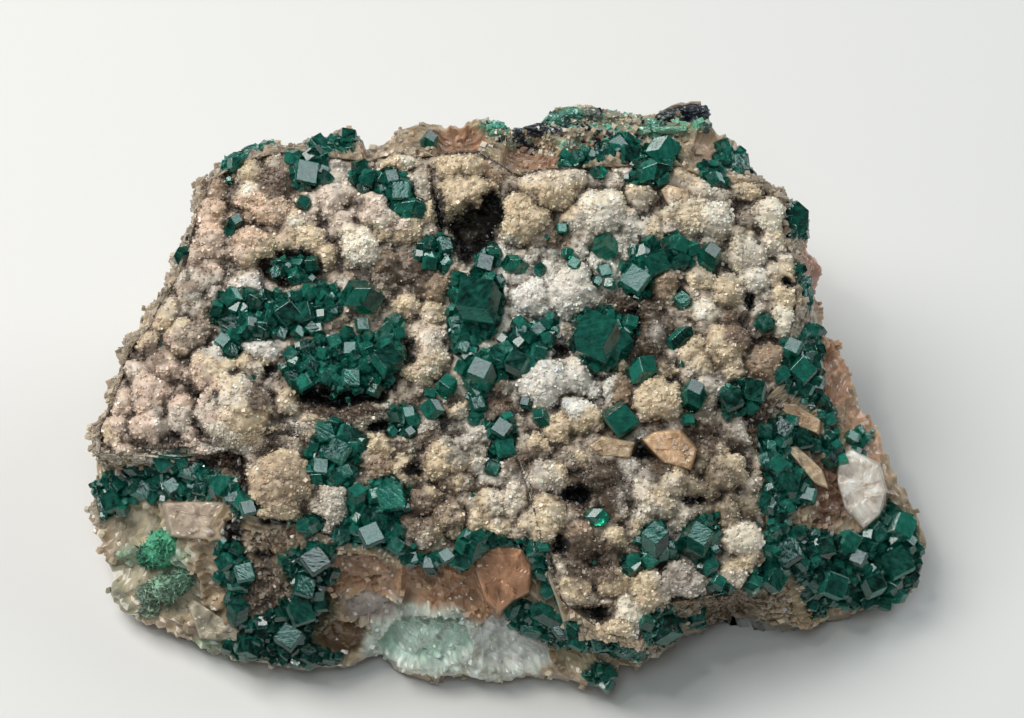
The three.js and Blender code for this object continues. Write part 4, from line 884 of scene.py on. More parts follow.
# Hollows between the balls: place, half width and half height in pixels, and depth in millimetres.
HOLLOWS = read_rows("""
    292 268 32 18 3, 474 236 27 34 6.5, 492 206 13 20 5, 338 396 50 11 6, 224 462 24 13 4,
    576 493 16 12 5, 590 612 25 8 4.5, 378 426 12 9 4, 560 345 11 10 3.5, 562 545 7 14 3.5,
    440 211 6 23 3.5, 633 322 9 16 3, 787 280 5 5 2, 216 395 5 6 2, 443 424 6 6 2, 272 368 6 7 2.5,
    412 470 8 10 2.5, 645 452 22 9 4, 742 410 26 8 4, 408 352 8 14 3, 385 385 12 8 3.5, 697 500 8 5 2,
    750 302 6 9 2.5, 682 300 8 11 2.5
""")
# Pink, white and grey patches of the druse, and dark brown ones that are partly its own colour and partly
# painted shade in its hollows: place, half width, half height, colour on the screen.
DRUSE_PATCHES_AND_SHADE = read_rows("""
    160 395 66 66 218 192 172, 215 250 40 62 214 190 170, 345 205 60 34 222 202 184,
    255 215 50 30 216 186 160, 420 330 24 26 214 194 172, 275 180 26 16 122 104 90,
    205 300 24 40 150 132 114, 195 335 20 24 176 158 140, 150 355 22 12 150 130 114,
    265 395 24 16 126 108 92, 525 465 26 16 112 94 78, 640 465 30 18 88 74 60, 600 490 38 30 88 74 60,
    405 275 36 24 88 74 60, 640 325 38 46 92 78 64, 500 400 30 30 112 94 78, 590 555 34 30 104 88 72,
    690 580 34 20 120 102 86, 560 240 30 16 140 122 104, 415 425 32 26 112 96 80, 345 405 48 16 84 68 54,
    420 505 44 34 134 116 98, 745 325 26 22 126 106 90, 690 440 60 22 92 76 62, 570 265 70 26 214 206 192,
    570 380 46 22 222 214 200, 225 345 22 14 214 206 194, 650 205 30 18 192 178 156,
    730 250 46 30 196 182 160, 620 430 30 18 112 96 80, 715 500 40 40 150 134 112,
    470 440 30 24 168 158 142, 500 262 34 24 222 214 200, 530 300 52 30 228 220 208,
    546 345 24 20 222 216 204, 470 348 14 12 216 208 196, 560 388 46 24 228 222 210,
    610 225 40 20 214 204 188, 488 470 16 12 212 204 190, 263 345 26 12 216 208 196,
    278 484 34 34 178 156 130, 248 284 20 12 224 214 204
""")


def ball_list(text):
    """Reads 'x y radius shade' items parted by commas into arrays."""
    items = [item.split() for item in text.replace("\n", " ").split(",")]
    sizes = np.array([[float(value) for value in item[:3]] for item in items])
    return sizes, [item[3] for item in items]


ball_sizes, ball_shades = ball_list(DRUSE_BALLS)
print("hand-placed balls:", len(ball_sizes))

# %% The druse surface
DRUSE_SIDE = 296
BALL_SINK = 0.3
GROUND_SINK = 1.3
EDGE_CURL, EDGE_WIDTH = 2.6, 8.0
SKIRT_DROP, FLOOR_DROP = 3.5, 9.0
EDGE_DRAW_IN = 0.05


def square_to_outline(side):
    """Carries a square grid to the crust: returns its places in the picture and how far the edge is.

    Of the crust's reach a point takes the greater of |a| and |b|; its direction is even along each side."""
    a, b = np.meshgrid(np.linspace(-1, 1, side), np.linspace(-1, 1, side))
    share = np.maximum(np.abs(a), np.abs(b))
    safe_a, safe_b = np.where(a == 0, 1e-9, a), np.where(b == 0, 1e-9, b)
    by_a = np.pi / 4 * b / safe_a + np.pi * (a < 0)
    by_b = np.pi / 2 - np.pi / 4 * a / safe_b + np.pi * (b < 0)
    direction = np.where(np.abs(a) >= np.abs(b), by_a, by_b)
    direction = (direction + np.pi) % (2 * np.pi) - np.pi
    edge, _ = reaches(direction)
    return (*radial(direction, share * edge), (1 - share) * edge)


def druse_height(x, y):
    """Height of the druse, and the ball at each point: ground, the highest ball on it, less the hollows."""
    u, v = x * MM_PER_PIXEL, y * MM_PER_PIXEL
    ground = skin_height(x, y) - GROUND_SINK + 0.7 * value_noise(u, v, 6.0, 20)
    ground = ground + 0.8 * ball_relief(u, v, 3.4, 21)
    wander_x = 5 * value_noise(u, v, 3.6, 15) + 2 * value_noise(u, v, 1.4, 17)
    wander_y = 5 * value_noise(u, v, 3.6, 16) + 2 * value_noise(u, v, 1.4, 18)
    best = ground.copy()
    owner = np.full(x.shape, -1)
    for number, (bx, by, radius) in enumerate(ball_sizes):
        radius_mm = radius * MM_PER_PIXEL
        distance = np.hypot(x + wander_x - bx, y + wander_y - by) * MM_PER_PIXEL
        centre = float(skin_height(np.array(bx), np.array(by))) - radius_mm * BALL_SINK
        tall = 0.55 + 0.45 * min(radius / 22, 1)
        top = centre + tall * np.sqrt(np.maximum((radius_mm * 1.12) ** 2 - distance ** 2, 0))
        higher = (distance < radius_mm * 1.1) & (top > best)
        best = np.where(higher, top, best)
        owner = np.where(higher, number, owner)
    for hx, hy, half_width, half_height, depth in HOLLOWS:
        distance = np.hypot((x + 1.5 * wander_x - hx) / half_width, (y + 1.5 * wander_y - hy) / half_height)
        best = best - depth * (1 - smooth_step(distance, 0.6, 1.1))
    small = 0.42 * ball_relief(u, v, 1.7, 22) + 0.4 * ball_relief(u + 0.3 * v, v, 0.95, 23)
    sugar = 0.28 * block_relief(u, v, 0.7, 24, 1.4)
    return best + small + sugar, owner


def crystal_seats(x, y, height):
    """Lowers the druse to just under the skin beneath each wide crystal and inside the fields."""
    floor = skin_height(x, y) - 0.9 + 0.25 * ball_relief(x * MM_PER_PIXEL, y * MM_PER_PIXEL, 0.9, 25)
    seat = in_fields(x, y)
    for cx, cy, width in single_rows[:, :3]:
        seat |= np.hypot(x - cx, y - cy) < 0.42 * width / MM_PER_PIXEL
    share = blurred(seat.astype(float), 2)
    return mix(height, np.minimum(height, floor), share), share


def blurred(values, rounds):
    """A box blur over the grid, repeated."""
    for _ in range(rounds):
        padded = np.pad(values, 1, mode="edge")
        values = (padded[:-2, 1:-1] + padded[2:, 1:-1] + padded[1:-1, :-2] + padded[1:-1, 2:] + values) / 5
    return values


druse_x, druse_y, druse_margin = square_to_outline(DRUSE_SIDE)
druse_z, druse_owner = druse_height(druse_x, druse_y)
druse_z, druse_seat = crystal_seats(druse_x, druse_y, druse_z)
druse_z = druse_z - EDGE_CURL * (1 - np.minimum(druse_margin, EDGE_WIDTH) / EDGE_WIDTH) ** 2
druse_points = sighted(druse_x, druse_y, druse_z)
print("druse height", druse_z.min().round(1), "to", druse_z.max().round(1), "mm")


# %% Colours of the druse
# Screen colours of the ground between the balls, of the white patches, and of the painted shade in crevices.
GROUND_COLOUR, WHITE_COLOUR, CREVICE_SHADE_COLOUR = (176, 160, 142), (226, 216, 202), (78, 66, 56)


def druse_colours():
    """Ball shades where a ball owns the point, tan elsewhere, patches mixed in, painted shade in crevices,
    pits and fields.
    """
    shades = np.array([to_linear(BALL_SHADES[shade]) for shade in ball_shades] + [to_linear(GROUND_COLOUR)])
    colour = np.stack([blurred(channel, 2) for channel in np.moveaxis(shades[druse_owner], -1, 0)], axis=-1)
    noise = value_noise(druse_x, druse_y, 16, 31)
    fine = value_noise(druse_x, druse_y, 5, 32)
    # Patches of colour, the dark ones partly painted shade.
    colour = blend_patches(colour, druse_x, druse_y, DRUSE_PATCHES_AND_SHADE, 0.4 * noise + 0.2 * fine)
    white = smooth_step(value_noise(druse_x, druse_y, 42, 33) + 0.5 * noise, 0.25, 0.9)[..., None]
    colour = mix(colour, to_linear(WHITE_COLOUR), 0.6 * white)
    # Painted shade: brown in the crevices between the balls, near black down in the pits and the hollows.
    depth = druse_z - blurred(druse_z, 50)
    crevice_shade = smooth_step(depth + 0.3 * fine, -1.3, 0.5)[..., None]
    colour = mix(to_linear(CREVICE_SHADE_COLOUR), colour, crevice_shade)
    pit_shading = smooth_step(depth, -3.0, -1.2)[..., None]
    for hx, hy, half_width, half_height, _ in HOLLOWS:
        distance = np.hypot((druse_x - hx) / half_width, (druse_y - hy) / half_height)
        distance = distance + 0.2 * fine + 0.15 * noise
        pit_shading = pit_shading * (0.04 + 0.96 * smooth_step(distance, 0.7, 1.15))[..., None]
    colour = colour * (0.05 + 0.95 * pit_shading) * (1 + 0.12 * fine)[..., None]
    # Painted shade: under a field of dioptase the druse is dark green.
    green = smooth_step(blurred(in_fields(druse_x, druse_y).astype(float), 1), 0.3, 0.8)[..., None]
    return mix(colour, FIELD_SHADE_GREEN, green)


druse_tint = druse_colours()


def close_below(points, thickness):
    """Adds a skirt and a floor under an open grid: its border is let down and joined to a middle point."""
    rows, columns = points.shape[:2]
    index = np.arange(rows * columns).reshape(rows, columns)
    border = np.concatenate([index[0, :-1], index[:-1, -1], index[-1, :0:-1], index[:0:-1, 0]])
    flat = points.reshape(-1, 3)
    drawn_in = flat[border] * np.array([1 - EDGE_DRAW_IN, 1 - EDGE_DRAW_IN, 1])
    lowered = np.maximum(drawn_in - np.array([0, 0, thickness]), 0)
    start = len(flat)
    lower = start + np.arange(len(border))
    middle = start + len(border)
    following = np.roll(border, -1)
    lower_following = np.roll(lower, -1)
    skirt = np.concatenate([
        np.stack([border, following, lower_following], axis=-1),
        np.stack([border, lower_following, lower], axis=-1),
        np.stack([lower, lower_following, np.full(len(border), middle)], axis=-1),
    ])
    deepest = lowered.mean(axis=0) - np.array([0, 0, FLOOR_DROP])
    return np.vstack([flat, lowered, deepest]), skirt, border


closed_points, skirt, border = close_below(druse_points, SKIRT_DROP)
druse_triangles = np.concatenate([halved(grid_faces(DRUSE_SIDE, DRUSE_SIDE)), skirt])
# Painted shade: the skirt and floor under the crust's edge are half as bright.
shaded_border_tint = druse_tint.reshape(-1, 3)[border] * 0.5
closed_tint = np.vstack([druse_tint.reshape(-1, 3), shaded_border_tint, shaded_border_tint.mean(axis=0)])
druse = new_piece("druse_balls", closed_points, druse_triangles, closed_tint)
druse.data.shade_smooth()
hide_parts("druse_crust")
print("druse triangles:", len(druse_triangles))

# %% [markdown]
# Sugar-like grains cover the druse, cleavage chips cover the broken calcite, and short fibres the
# malachite. All are the same cheap form of eight corners: a cube stretched or flattened along one diagonal.
# Druse grains are a little long, calcite cleaves into flattened ones, and fibres are very long ones.

# %% Grains of the druse
GRAINS_A_PIECE = 8800
CUBE_CORNERS = np.array([(x, y, z) for x in (-1, 1) for y in (-1, 1) for z in (-1, 1)], float)
CUBE_FACES = np.array([(0, 1, 3, 2), (4, 6, 7, 5), (0, 4, 5, 1), (2, 3, 7, 6), (0, 2, 6, 4), (1, 5, 7, 3)])
GRAIN_STRETCH, CLEAVAGE_STRETCH, FIBRE_STRETCH = 1.3, 0.7, 6.0


def random_turns(count):
    """A different random turn for each of many grains."""
    return turn_matrices(count, int(random.integers(1, 9999)))


def rhomb_corners(stretch):
    """The cube's corners with their share along the long diagonal scaled."""
    diagonal = np.ones(3) / np.sqrt(3)
    along = CUBE_CORNERS @ diagonal
    return (CUBE_CORNERS + np.outer(along * (stretch - 1), diagonal)) / 2


def make_rhombs(name, places, turns, sizes, tints, stretch):
    """One piece from many rhombs: place + size * turn applied to the stretched cube's corners."""
    corners = np.einsum("gij,kj->gki", turns, rhomb_corners(stretch)) * sizes[:, None, None]
    points = (places[:, None, :] + corners).reshape(-1, 3)
    points[:, 2] = np.maximum(points[:, 2], 0)
    faces = (np.arange(len(places))[:, None, None] * 8 + CUBE_FACES).reshape(-1, 4)
    return new_piece(name, points, faces, np.repeat(np.clip(tints, 0, 0.95), 8, axis=0))


def grid_places(points, weight, count):
    """Random places on a grid surface: a cell by its area times a weight, and a spot inside it."""
    rows = np.linalg.norm(np.diff(points, axis=0), axis=-1)[:, :-1]
    columns = np.linalg.norm(np.diff(points, axis=1), axis=-1)[:-1]
    share = (np.minimum(rows, 1.5) * np.minimum(columns, 1.5) * weight[:-1, :-1]).ravel()
    r, c = np.unravel_index(random.choice(share.size, size=count, p=share / share.sum()), rows.shape)
    u, v = random.random((2, count, 1))
    upper = mix(points[r, c], points[r, c + 1], u)
    lower = mix(points[r + 1, c], points[r + 1, c + 1], u)
    return mix(upper, lower, v), r, c


def dress_grains(name, places, sizes, tints):
    """Randomly turned grains of the druse's mineral."""
    grains = make_rhombs(name, places, random_turns(len(places)), sizes, tints, GRAIN_STRETCH)
    return grains


def make_grains(name, low, high, brightness):
    """Grains on the druse outside the fields: each takes the colour under it, varied by chance."""
    places, r, c = grid_places(druse_points, 1 - druse_seat, GRAINS_A_PIECE)
    light = brightness * (0.7 + 0.6 * random.random((GRAINS_A_PIECE, 1)))
    sizes = low + (high - low) * random.random(GRAINS_A_PIECE) ** 2
    return dress_grains(name, places, sizes, druse_tint[r, c] * light + 0.02)


druse_grains = [
    make_grains("druse_grains_fine", 0.25, 0.5, 0.95),
    make_grains("druse_grains_middle", 0.3, 0.65, 1.1),
    make_grains("druse_grains_bright", 0.22, 0.42, 1.4),
]
print("grains:", 3 * GRAINS_A_PIECE)

# %% Cleavage chips on the broken calcite
# Single blocks of calcite: how far the face stands out, its colour on the screen, and its corners.
CALCITE_BLOCKS = {
    name: (corners, float(out), screen)
    for (name, out, *screen), corners in read_lists("""
    calcite_wedge 1.6 184 166 148: 165 503, 245 500, 212 540, 172 536;
    calcite_lower_wedge 1.4 175 165 145: 190 608, 195 600, 246 634, 238 642, 200 638;
    calcite_orange_block 2.4 180 136 106: 478 552, 500 545, 522 550, 532 568, 529 592, 513 600, 499 612,
        486 600, 475 568;
    calcite_white_crystal 2.8 236 222 208: 838 458, 852 450, 878 466, 885 490, 879 514, 864 528, 846 510,
        838 484;
    calcite_lens 2.2 205 180 150: 786 448, 797 446, 822 470, 828 488, 815 484;
    calcite_tan_slab 2 190 160 130: 772 401, 795 404, 820 420, 818 434, 800 427;
    calcite_middle_flat 1.8 185 160 130: 588 446, 602 436, 635 442, 630 458, 602 456;
    calcite_middle_cone 2.4 195 160 125: 642 440, 656 432, 680 430, 697 450, 690 470, 664 463;
    calcite_back_block 1.8 190 165 135: 661 190, 668 185, 688 190, 690 200, 680 206, 667 203
""")}
CHIP_COUNT = 1300
CHIP_SINK = 0.42
CLEAR_OF_BLOCKS = 8


def make_chips():
    """Chips on the wall and skirt, turned as the steps under them are, and sunk by a share of their size."""
    weight = np.ones(block_x.shape)
    weight[:DISH_ROWS + 2] = 0
    weight[-10:] = 0
    weight[WAIST_ROW:] *= 0.4
    weight = weight * (1 - in_fields(block_x, block_y)) * (0.3 + 0.7 * (stand_out < 0.3))
    for corners, _, _ in CALCITE_BLOCKS.values():
        weight[inside_depth(block_x, block_y, corners) > -CLEAR_OF_BLOCKS] = 0
    places, r, c = grid_places(block_points, weight, CHIP_COUNT)
    region = nearest_cell(around_mm[r, c], along_mm[r, c], CLEAVAGE_REGION, REGION_SEED)
    turns = cleavage_turns[(region * CLEAVAGE_TURNS).astype(int)]
    sizes = 0.35 + 0.8 * random.random(CHIP_COUNT) ** 2
    light = 0.75 + 0.65 * random.random((CHIP_COUNT, 1))
    sunk = places - block_normals[r, c] * sizes[:, None] * CHIP_SINK
    tints = block_tint[r, c] * light + 0.01
    chips = make_rhombs("calcite_chips", sunk, turns, sizes, tints, CLEAVAGE_STRETCH)
    return chips


calcite_chips = make_chips()
print("chips:", CHIP_COUNT)

# %% Druse on the wall
WALL_GRAINS = 5500


def make_wall_grains():
    """Grains like the druse's on the wall close to the crust and on the islands further out."""
    weight = np.where(druse_on_wall & ~in_fields(block_x, block_y), 0.5, 0)
    tint = block_tint.copy()
    # Grains on an island take its colour, which on the darkest two is painted shadow.
    for corners, screen in WALL_DRUSE_AND_SHADE:
        here = inside(block_x, block_y, corners) & on_wall
        weight[here] = 2
        tint[here] = to_linear(screen)
    places, r, c = grid_places(block_points, weight, WALL_GRAINS)
    light = 0.65 + 0.7 * random.random((WALL_GRAINS, 1))
    sizes = 0.35 + 0.5 * random.random(WALL_GRAINS) ** 2
    raised = 0.9 * random.random(WALL_GRAINS) + 1.2 * in_fields(block_x, block_y)[r, c]
    places = places + block_normals[r, c] * raised[:, None]
    return dress_grains("wall_druse_grains", places, sizes, tint[r, c] * light)


# The back rim is a granular mix: where it lies in the picture, and its colours on the screen.
RIM_GRAINS = 2600
RIM_AREA = read_rows("""
    486 118, 512 130, 548 118, 550 106, 577 100, 610 106, 650 112, 662 122, 690 126, 704 132, 672 136,
    640 138, 600 142, 560 148, 520 146, 490 138
""")
RIM_COLOURS = read_rows("214 206 186, 160 206 182, 92 168 146, 44 50 56, 190 168 140")


def make_rim_grains():
    """Grains of calcite, ore and blue-green crust side by side along the back rim, grouped by colour in
    patches.
    """
    weight = inside(block_x, block_y, RIM_AREA).astype(float)
    weight[WAIST_ROW + 4:] = 0
    places, r, c = grid_places(block_points, weight, RIM_GRAINS)
    patch = nearest_cell(0.5 * block_x[r, c], 1.5 * block_y[r, c], 9.0, 61) * len(RIM_COLOURS)
    own = random.integers(0, len(RIM_COLOURS), RIM_GRAINS)
    chosen = np.where(random.random(RIM_GRAINS) < 0.85, patch.astype(int), own)
    light = 0.6 + 0.6 * random.random((RIM_GRAINS, 1))
    places = places + block_normals[r, c] * (0.8 * random.random((RIM_GRAINS, 1)))
    turns, sizes = random_turns(RIM_GRAINS), 0.3 + 0.35 * random.random(RIM_GRAINS)
    tints = to_linear(RIM_COLOURS)[chosen] * light
    grains = make_rhombs("rim_grains", places, turns, sizes, tints, GRAIN_STRETCH)
    return grains


druse_grains.append(make_wall_grains())
druse_grains.append(make_rim_grains())

# %% [markdown]
# Dioptase grows as six-sided prisms closed by three rhombohedron faces at each end. Fourteen corners give
# the twelve faces: the end face leans 51 degrees from the long axis, so it falls 1.233 mm for each mm
# across. Each crystal is a place, its width and length in millimetres, the long axis round the line of
# sight, the lean of that axis towards the eye, and the turn about itself. A face points at the eye at a
# lean of 39 degrees.

# %% Dioptase crystals by group
# In the picture: the mass low on the left is painted darker as shade, and a few spots are painted bright
# as glints (place and radius in pixels).
SHADED_CRYSTALS = read_rows("218 590, 258 622, 290 560, 338 552, 345 668, 225 668")
GLINT_CRYSTALS = read_rows("""
    200 479 7, 862 436 14, 345 472 9, 326 431 7, 383 488 9, 866 567 8, 848 540 7, 630 276 9, 605 269 7,
    463 366 8, 560 330 7, 905 527 8
""")
# How much the painted shade darkens a face, and how far a painted glint lifts a face's light towards full.
SHADE_DARKENING, GLINT_LEAST_BRIGHT = 0.45, 0.4
# Fall of an end face for each unit across, and how far a crystal's middle lies over the skin, in widths.
RHOMB_SLOPE = 1.233
CRYSTAL_LIFT = 0.26
# How far apart the crystals lie in the noise of their growth, and the width of their worn edges, in mm.
GROWTH_SPREAD = 40
WORN_EDGE, SMALL_WORN_EDGE = 0.07, 0.05
CRYSTAL_FACES = np.array(
    [(0, 2 + 2 * ((k + 5) % 6), 2 + 2 * k, 2 + 2 * ((k + 1) % 6)) for k in (0, 2, 4)]
    + [(1, 3 + 2 * ((k + 1) % 6), 3 + 2 * k, 3 + 2 * ((k + 5) % 6)) for k in (1, 3, 5)]
    + [(2 + 2 * k, 3 + 2 * k, 3 + 2 * ((k + 1) % 6), 2 + 2 * ((k + 1) % 6)) for k in range(6)]
)


def crystal_corners(width, length):
    """Fourteen corners: two tips, and two rings of six that fall from them by the rhombohedron's slope."""
    radius = width / 2
    half = np.maximum(length / 2, radius * 0.93)
    zero = np.zeros_like(radius)
    corners = [np.stack([zero, zero, half], axis=-1), np.stack([zero, zero, -half], axis=-1)]
    for corner in range(6):
        angle = radians(corner * 60)
        high, low = (0.5, 1) if corner % 2 else (1, 0.5)
        x, y = cos(angle) * radius, sin(angle) * radius
        corners.append(np.stack([x, y, half - high * RHOMB_SLOPE * radius], axis=-1))
        corners.append(np.stack([x, y, -half + low * RHOMB_SLOPE * radius], axis=-1))
    return np.stack(corners, axis=1)


def crystal_points(rows):
    """Corners of many crystals, turned by their angles and set on the rock's skin."""
    x, y, width, length, turn, lean, spin = np.asarray(rows, float).T
    turn, lean, spin = np.radians(turn), np.radians(lean), np.radians(spin)
    rightward, upward = np.cos(turn) * np.cos(lean), np.sin(turn) * np.cos(lean)
    axis = rightward[:, None] * SIGHT_RIGHT + upward[:, None] * SIGHT_UP + np.sin(lean)[:, None] * SIGHT_OUT
    facing = unit(SIGHT_OUT - (axis @ SIGHT_OUT)[:, None] * axis)
    beside = np.cross(axis, facing)
    across = facing * np.cos(spin)[:, None] + beside * np.sin(spin)[:, None]
    upright = beside * np.cos(spin)[:, None] - facing * np.sin(spin)[:, None]
    corners = crystal_corners(width, length)
    centre = sighted(x, y, skin_height(x, y) + width * CRYSTAL_LIFT)
    sideways = corners[..., :1] * across[:, None, :] + corners[..., 1:2] * upright[:, None, :]
    return centre[:, None, :] + sideways + corners[..., 2:] * axis[:, None, :]


def make_crystals(name, rows):
    """One piece from many crystals: each face has a share of light, each corner its place in its crystal."""
    points = crystal_points(rows)
    faces = (np.arange(len(points))[:, None, None] * 14 + CRYSTAL_FACES).reshape(-1, 4)
    crystals = new_piece(name, points.reshape(-1, 3), faces)
    # Painted light: each face gets its own brightness, for the light reflected inside the crystal.
    own_light, face_light = random.random((len(points), 1)), random.random((len(points), len(CRYSTAL_FACES)))
    light = 0.3 * own_light + 0.7 * face_light ** 2
    x, y, width, length = np.asarray(rows, float).T[:4]
    # Painted shade on the mass low on the left, and painted glints at a few spots.
    light = np.where(inside(x, y, SHADED_CRYSTALS)[:, None], SHADE_DARKENING * light, light)
    for spot_x, spot_y, radius in GLINT_CRYSTALS:
        near = (np.hypot(x - spot_x, y - spot_y) < radius)[:, None]
        light = np.where(near, mix(light, 1, GLINT_LEAST_BRIGHT), light)
    facet = crystals.data.attributes.new("facet", "FLOAT", "FACE")
    facet.data.foreach_set("value", light.astype(np.float32).ravel())
    own = crystal_corners(width, length) + GROWTH_SPREAD * random.random((len(points), 1, 3))
    grown = crystals.data.attributes.new("grown", "FLOAT_VECTOR", "POINT")
    grown.data.foreach_set("vector", own.astype(np.float32).ravel())
    return crystals


def add_bevel(piece, width_mm):
    """Worn edges: a narrow one-step bevel that only takes the sharp edges."""
    bevel = piece.modifiers.new("worn edges", "BEVEL")
    bevel.width = width_mm * MM
    bevel.segments = 1
    bevel.limit_method = "ANGLE"


dioptase_pieces = []
for group, rows in DIOPTASE.items():
    piece = make_crystals(group.replace("dioptase_", "crystals_"), rows)
    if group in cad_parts:
        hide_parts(group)
    add_bevel(piece, WORN_EDGE)
    dioptase_pieces.append(piece)
print("dioptase groups:", len(dioptase_pieces))


# %% Small dioptase crystals
LOOSE_CRYSTALS = 130


def loose_rows():
    """A few small crystals anywhere on the druse."""
    x, y = 110 + 700 * random.random(LOOSE_CRYSTALS), 170 + 440 * random.random(LOOSE_CRYSTALS)
    width = 0.6 + 0.9 * random.random(LOOSE_CRYSTALS) ** 2
    turn, lean, spin = (most * random.random(LOOSE_CRYSTALS) for most in (180, 60, 120))
    rows = np.stack([x, y, width, width * 1.2, turn, lean, spin], axis=-1)
    return rows[inside(x, y, [tuple(corner) for corner in CRUST_EDGE])]


dioptase_pieces.append(make_crystals("crystals_fields_wide", field_rows[0]))
add_bevel(dioptase_pieces[-1], SMALL_WORN_EDGE)
dioptase_pieces.append(make_crystals("crystals_fields_small", np.concatenate([field_rows[1], loose_rows()])))
dioptase_pieces.append(make_crystals("crystals_on_crust", CRUST_DIOPTASE))
add_bevel(dioptase_pieces[-1], WORN_EDGE)
print("crystals in all:", sum(len(piece.data.vertices) for piece in dioptase_pieces) // 14)

# %% [markdown]
# Single blocks of calcite stand out from the rock. Each is a ring surface: its outline in the picture is
# carried from behind, where it is wider, up to the edge of its face and in to the middle of the face.

# %% Single calcite blocks
FACE_DIRECTIONS, FACE_RINGS, SIDE_RINGS = 72, 14, 5


def block_rings(corners, out):
    """Rings from the face's middle to its edge, then back into the rock, a quarter wider at the end."""
    corners = np.array(corners, float)
    middle = corners.mean(axis=0)
    direction = np.linspace(np.pi, -np.pi, FACE_DIRECTIONS, endpoint=False)
    edge = reach(corners - middle + RADIAL_CENTRE, direction)
    share = np.concatenate([np.linspace(0.06, 1, FACE_RINGS), np.linspace(1.02, 1.25, SIDE_RINGS)])[:, None]
    x, y = radial(direction, edge * share, middle)
    level = float(skin_height(*middle[:, None])[0])
    face = level + out + 0.5 * (skin_height(x, y) - level)
    bevel = 0.35 * smooth_step(share, 0.9, 1.0)
    u, v = x * MM_PER_PIXEL, y * MM_PER_PIXEL
    relief = flakes(u, v, 3.0, 0.17, 41) + flakes(u, v, 1.0, 0.16, 42) + 0.12 * block_relief(u, v, 0.5, 43)
    behind = np.maximum(share - 1, 0) / 0.25 * (out + 5)
    return sighted(x, y, face - bevel + relief * (share < 1) - behind)


calcite_blocks = []
for name, (corners, out, screen) in CALCITE_BLOCKS.items():
    rings = block_rings(corners, out)
    points = with_middles(rings)
    across, up, out_of = points.T
    mottled = 0.35 * value_noise(across, up, 1.6, 44) + 0.2 * value_noise(across, up, 0.6, 45)
    flat_light = nearest_cell(across + out_of, up, 1.8, 46)
    tint = to_linear(screen) * (0.85 + 0.35 * flat_light + mottled)[:, None]
    block = new_piece(name.replace("calcite_", "block_"), points, close_rings(rings), tint)
    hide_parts(name)
    calcite_blocks.append(block)
print("calcite blocks:", len(calcite_blocks))

# %% [markdown]
# The back rim carries dark ore with blue-green crusts, and a ball of malachite sits low on the left. All
# are lumps: a sphere as a grid of latitude and longitude, pushed in and out by the reliefs.

# %% Lumps of ore and malachite
LUMP_ROWS, LUMP_COLUMNS = 20, 30
# Place, half width and half height in pixels, how far it stands out in mm, and its colour.
ORE_LUMPS = read_rows("""
    668 119 14 10 0.2 48 54 60, 686 113 16 10 0.6 38 44 52, 700 114 12 11 0.4 48 56 62,
    703 127 10 9 0 90 104 98, 650 125 12 8 0.2 130 176 156, 630 124 14 8 0.2 170 162 142,
    610 119 15 9 0.4 150 146 126, 590 117 15 10 0.4 104 112 102, 573 117 15 10 0.5 84 138 122,
    556 122 14 11 0.4 96 150 132, 538 132 20 9 0.2 38 44 52, 497 129 12 9 0.2 84 160 140,
    520 134 12 7 0.1 60 72 78, 668 130 18 4 0.3 140 190 168, 640 131 12 5 0.3 150 190 168
""")
MALACHITE_LUMPS = read_rows("""
    165 548 21 20 1.4 86 172 134, 150 556 12 11 0.6 70 140 110, 168 588 17 15 -0.3 150 188 160,
    150 594 12 10 -0.4 160 188 164, 184 578 10 11 -0.3 130 172 146, 150 610 10 7 -0.5 160 180 156
""")


def lump_rings(x, y, half_width, half_height, out, cell, rough):
    """A sphere by latitude and longitude, stretched to its half sizes and roughened along its own radius."""
    latitude = np.linspace(0.06, np.pi - 0.06, LUMP_ROWS)[:, None]
    longitude = np.linspace(0, 2 * np.pi, LUMP_COLUMNS, endpoint=False)
    ring = np.sin(latitude)
    a, b, c = ring * np.cos(longitude), ring * np.sin(longitude), np.cos(latitude) * np.ones_like(longitude)
    wide, tall = half_width * MM_PER_PIXEL, half_height * MM_PER_PIXEL
    deep = (wide + tall) / 2
    u = np.arctan2(b, a) * 3 + x
    v = latitude * 3 + y + 0 * u
    swell = 1 + rough * (block_relief(u, v, cell, int(x)) / cell - 0.55)
    place = np.array(x), np.array(y)
    centre = sighted(*place, skin_height(*place) + out - 0.5 * deep)
    return (centre + (a * wide * swell)[..., None] * SIGHT_RIGHT + (b * tall * swell)[..., None] * SIGHT_UP
            + (c * deep * swell)[..., None] * SIGHT_OUT)


def make_lumps(name, lumps, cell, rough):
    """One piece from several lumps, each in its own tint."""
    points, faces, tints, start = [], [], [], 0
    for x, y, half_width, half_height, out, *screen in lumps:
        rings = lump_rings(x, y, half_width, half_height, out, cell, rough)
        lump = with_middles(rings)
        points.append(lump)
        faces.append(close_rings(rings) + start)
        tints.append(np.ones((len(lump), 3)) * to_linear(screen))
        start += len(lump)
    return new_piece(name, np.vstack(points), np.concatenate(faces), np.vstack(tints))


ore = make_lumps("ore_on_rim", ORE_LUMPS, 1.3, 0.5)
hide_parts("ore_lumps")
malachite = make_lumps("malachite_balls", MALACHITE_LUMPS, 0.5, 0.3)
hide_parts("malachite_ball")
print("lumps:", len(ORE_LUMPS) + len(MALACHITE_LUMPS))

# %% Malachite fibres
FIBRE_COUNT = 2200


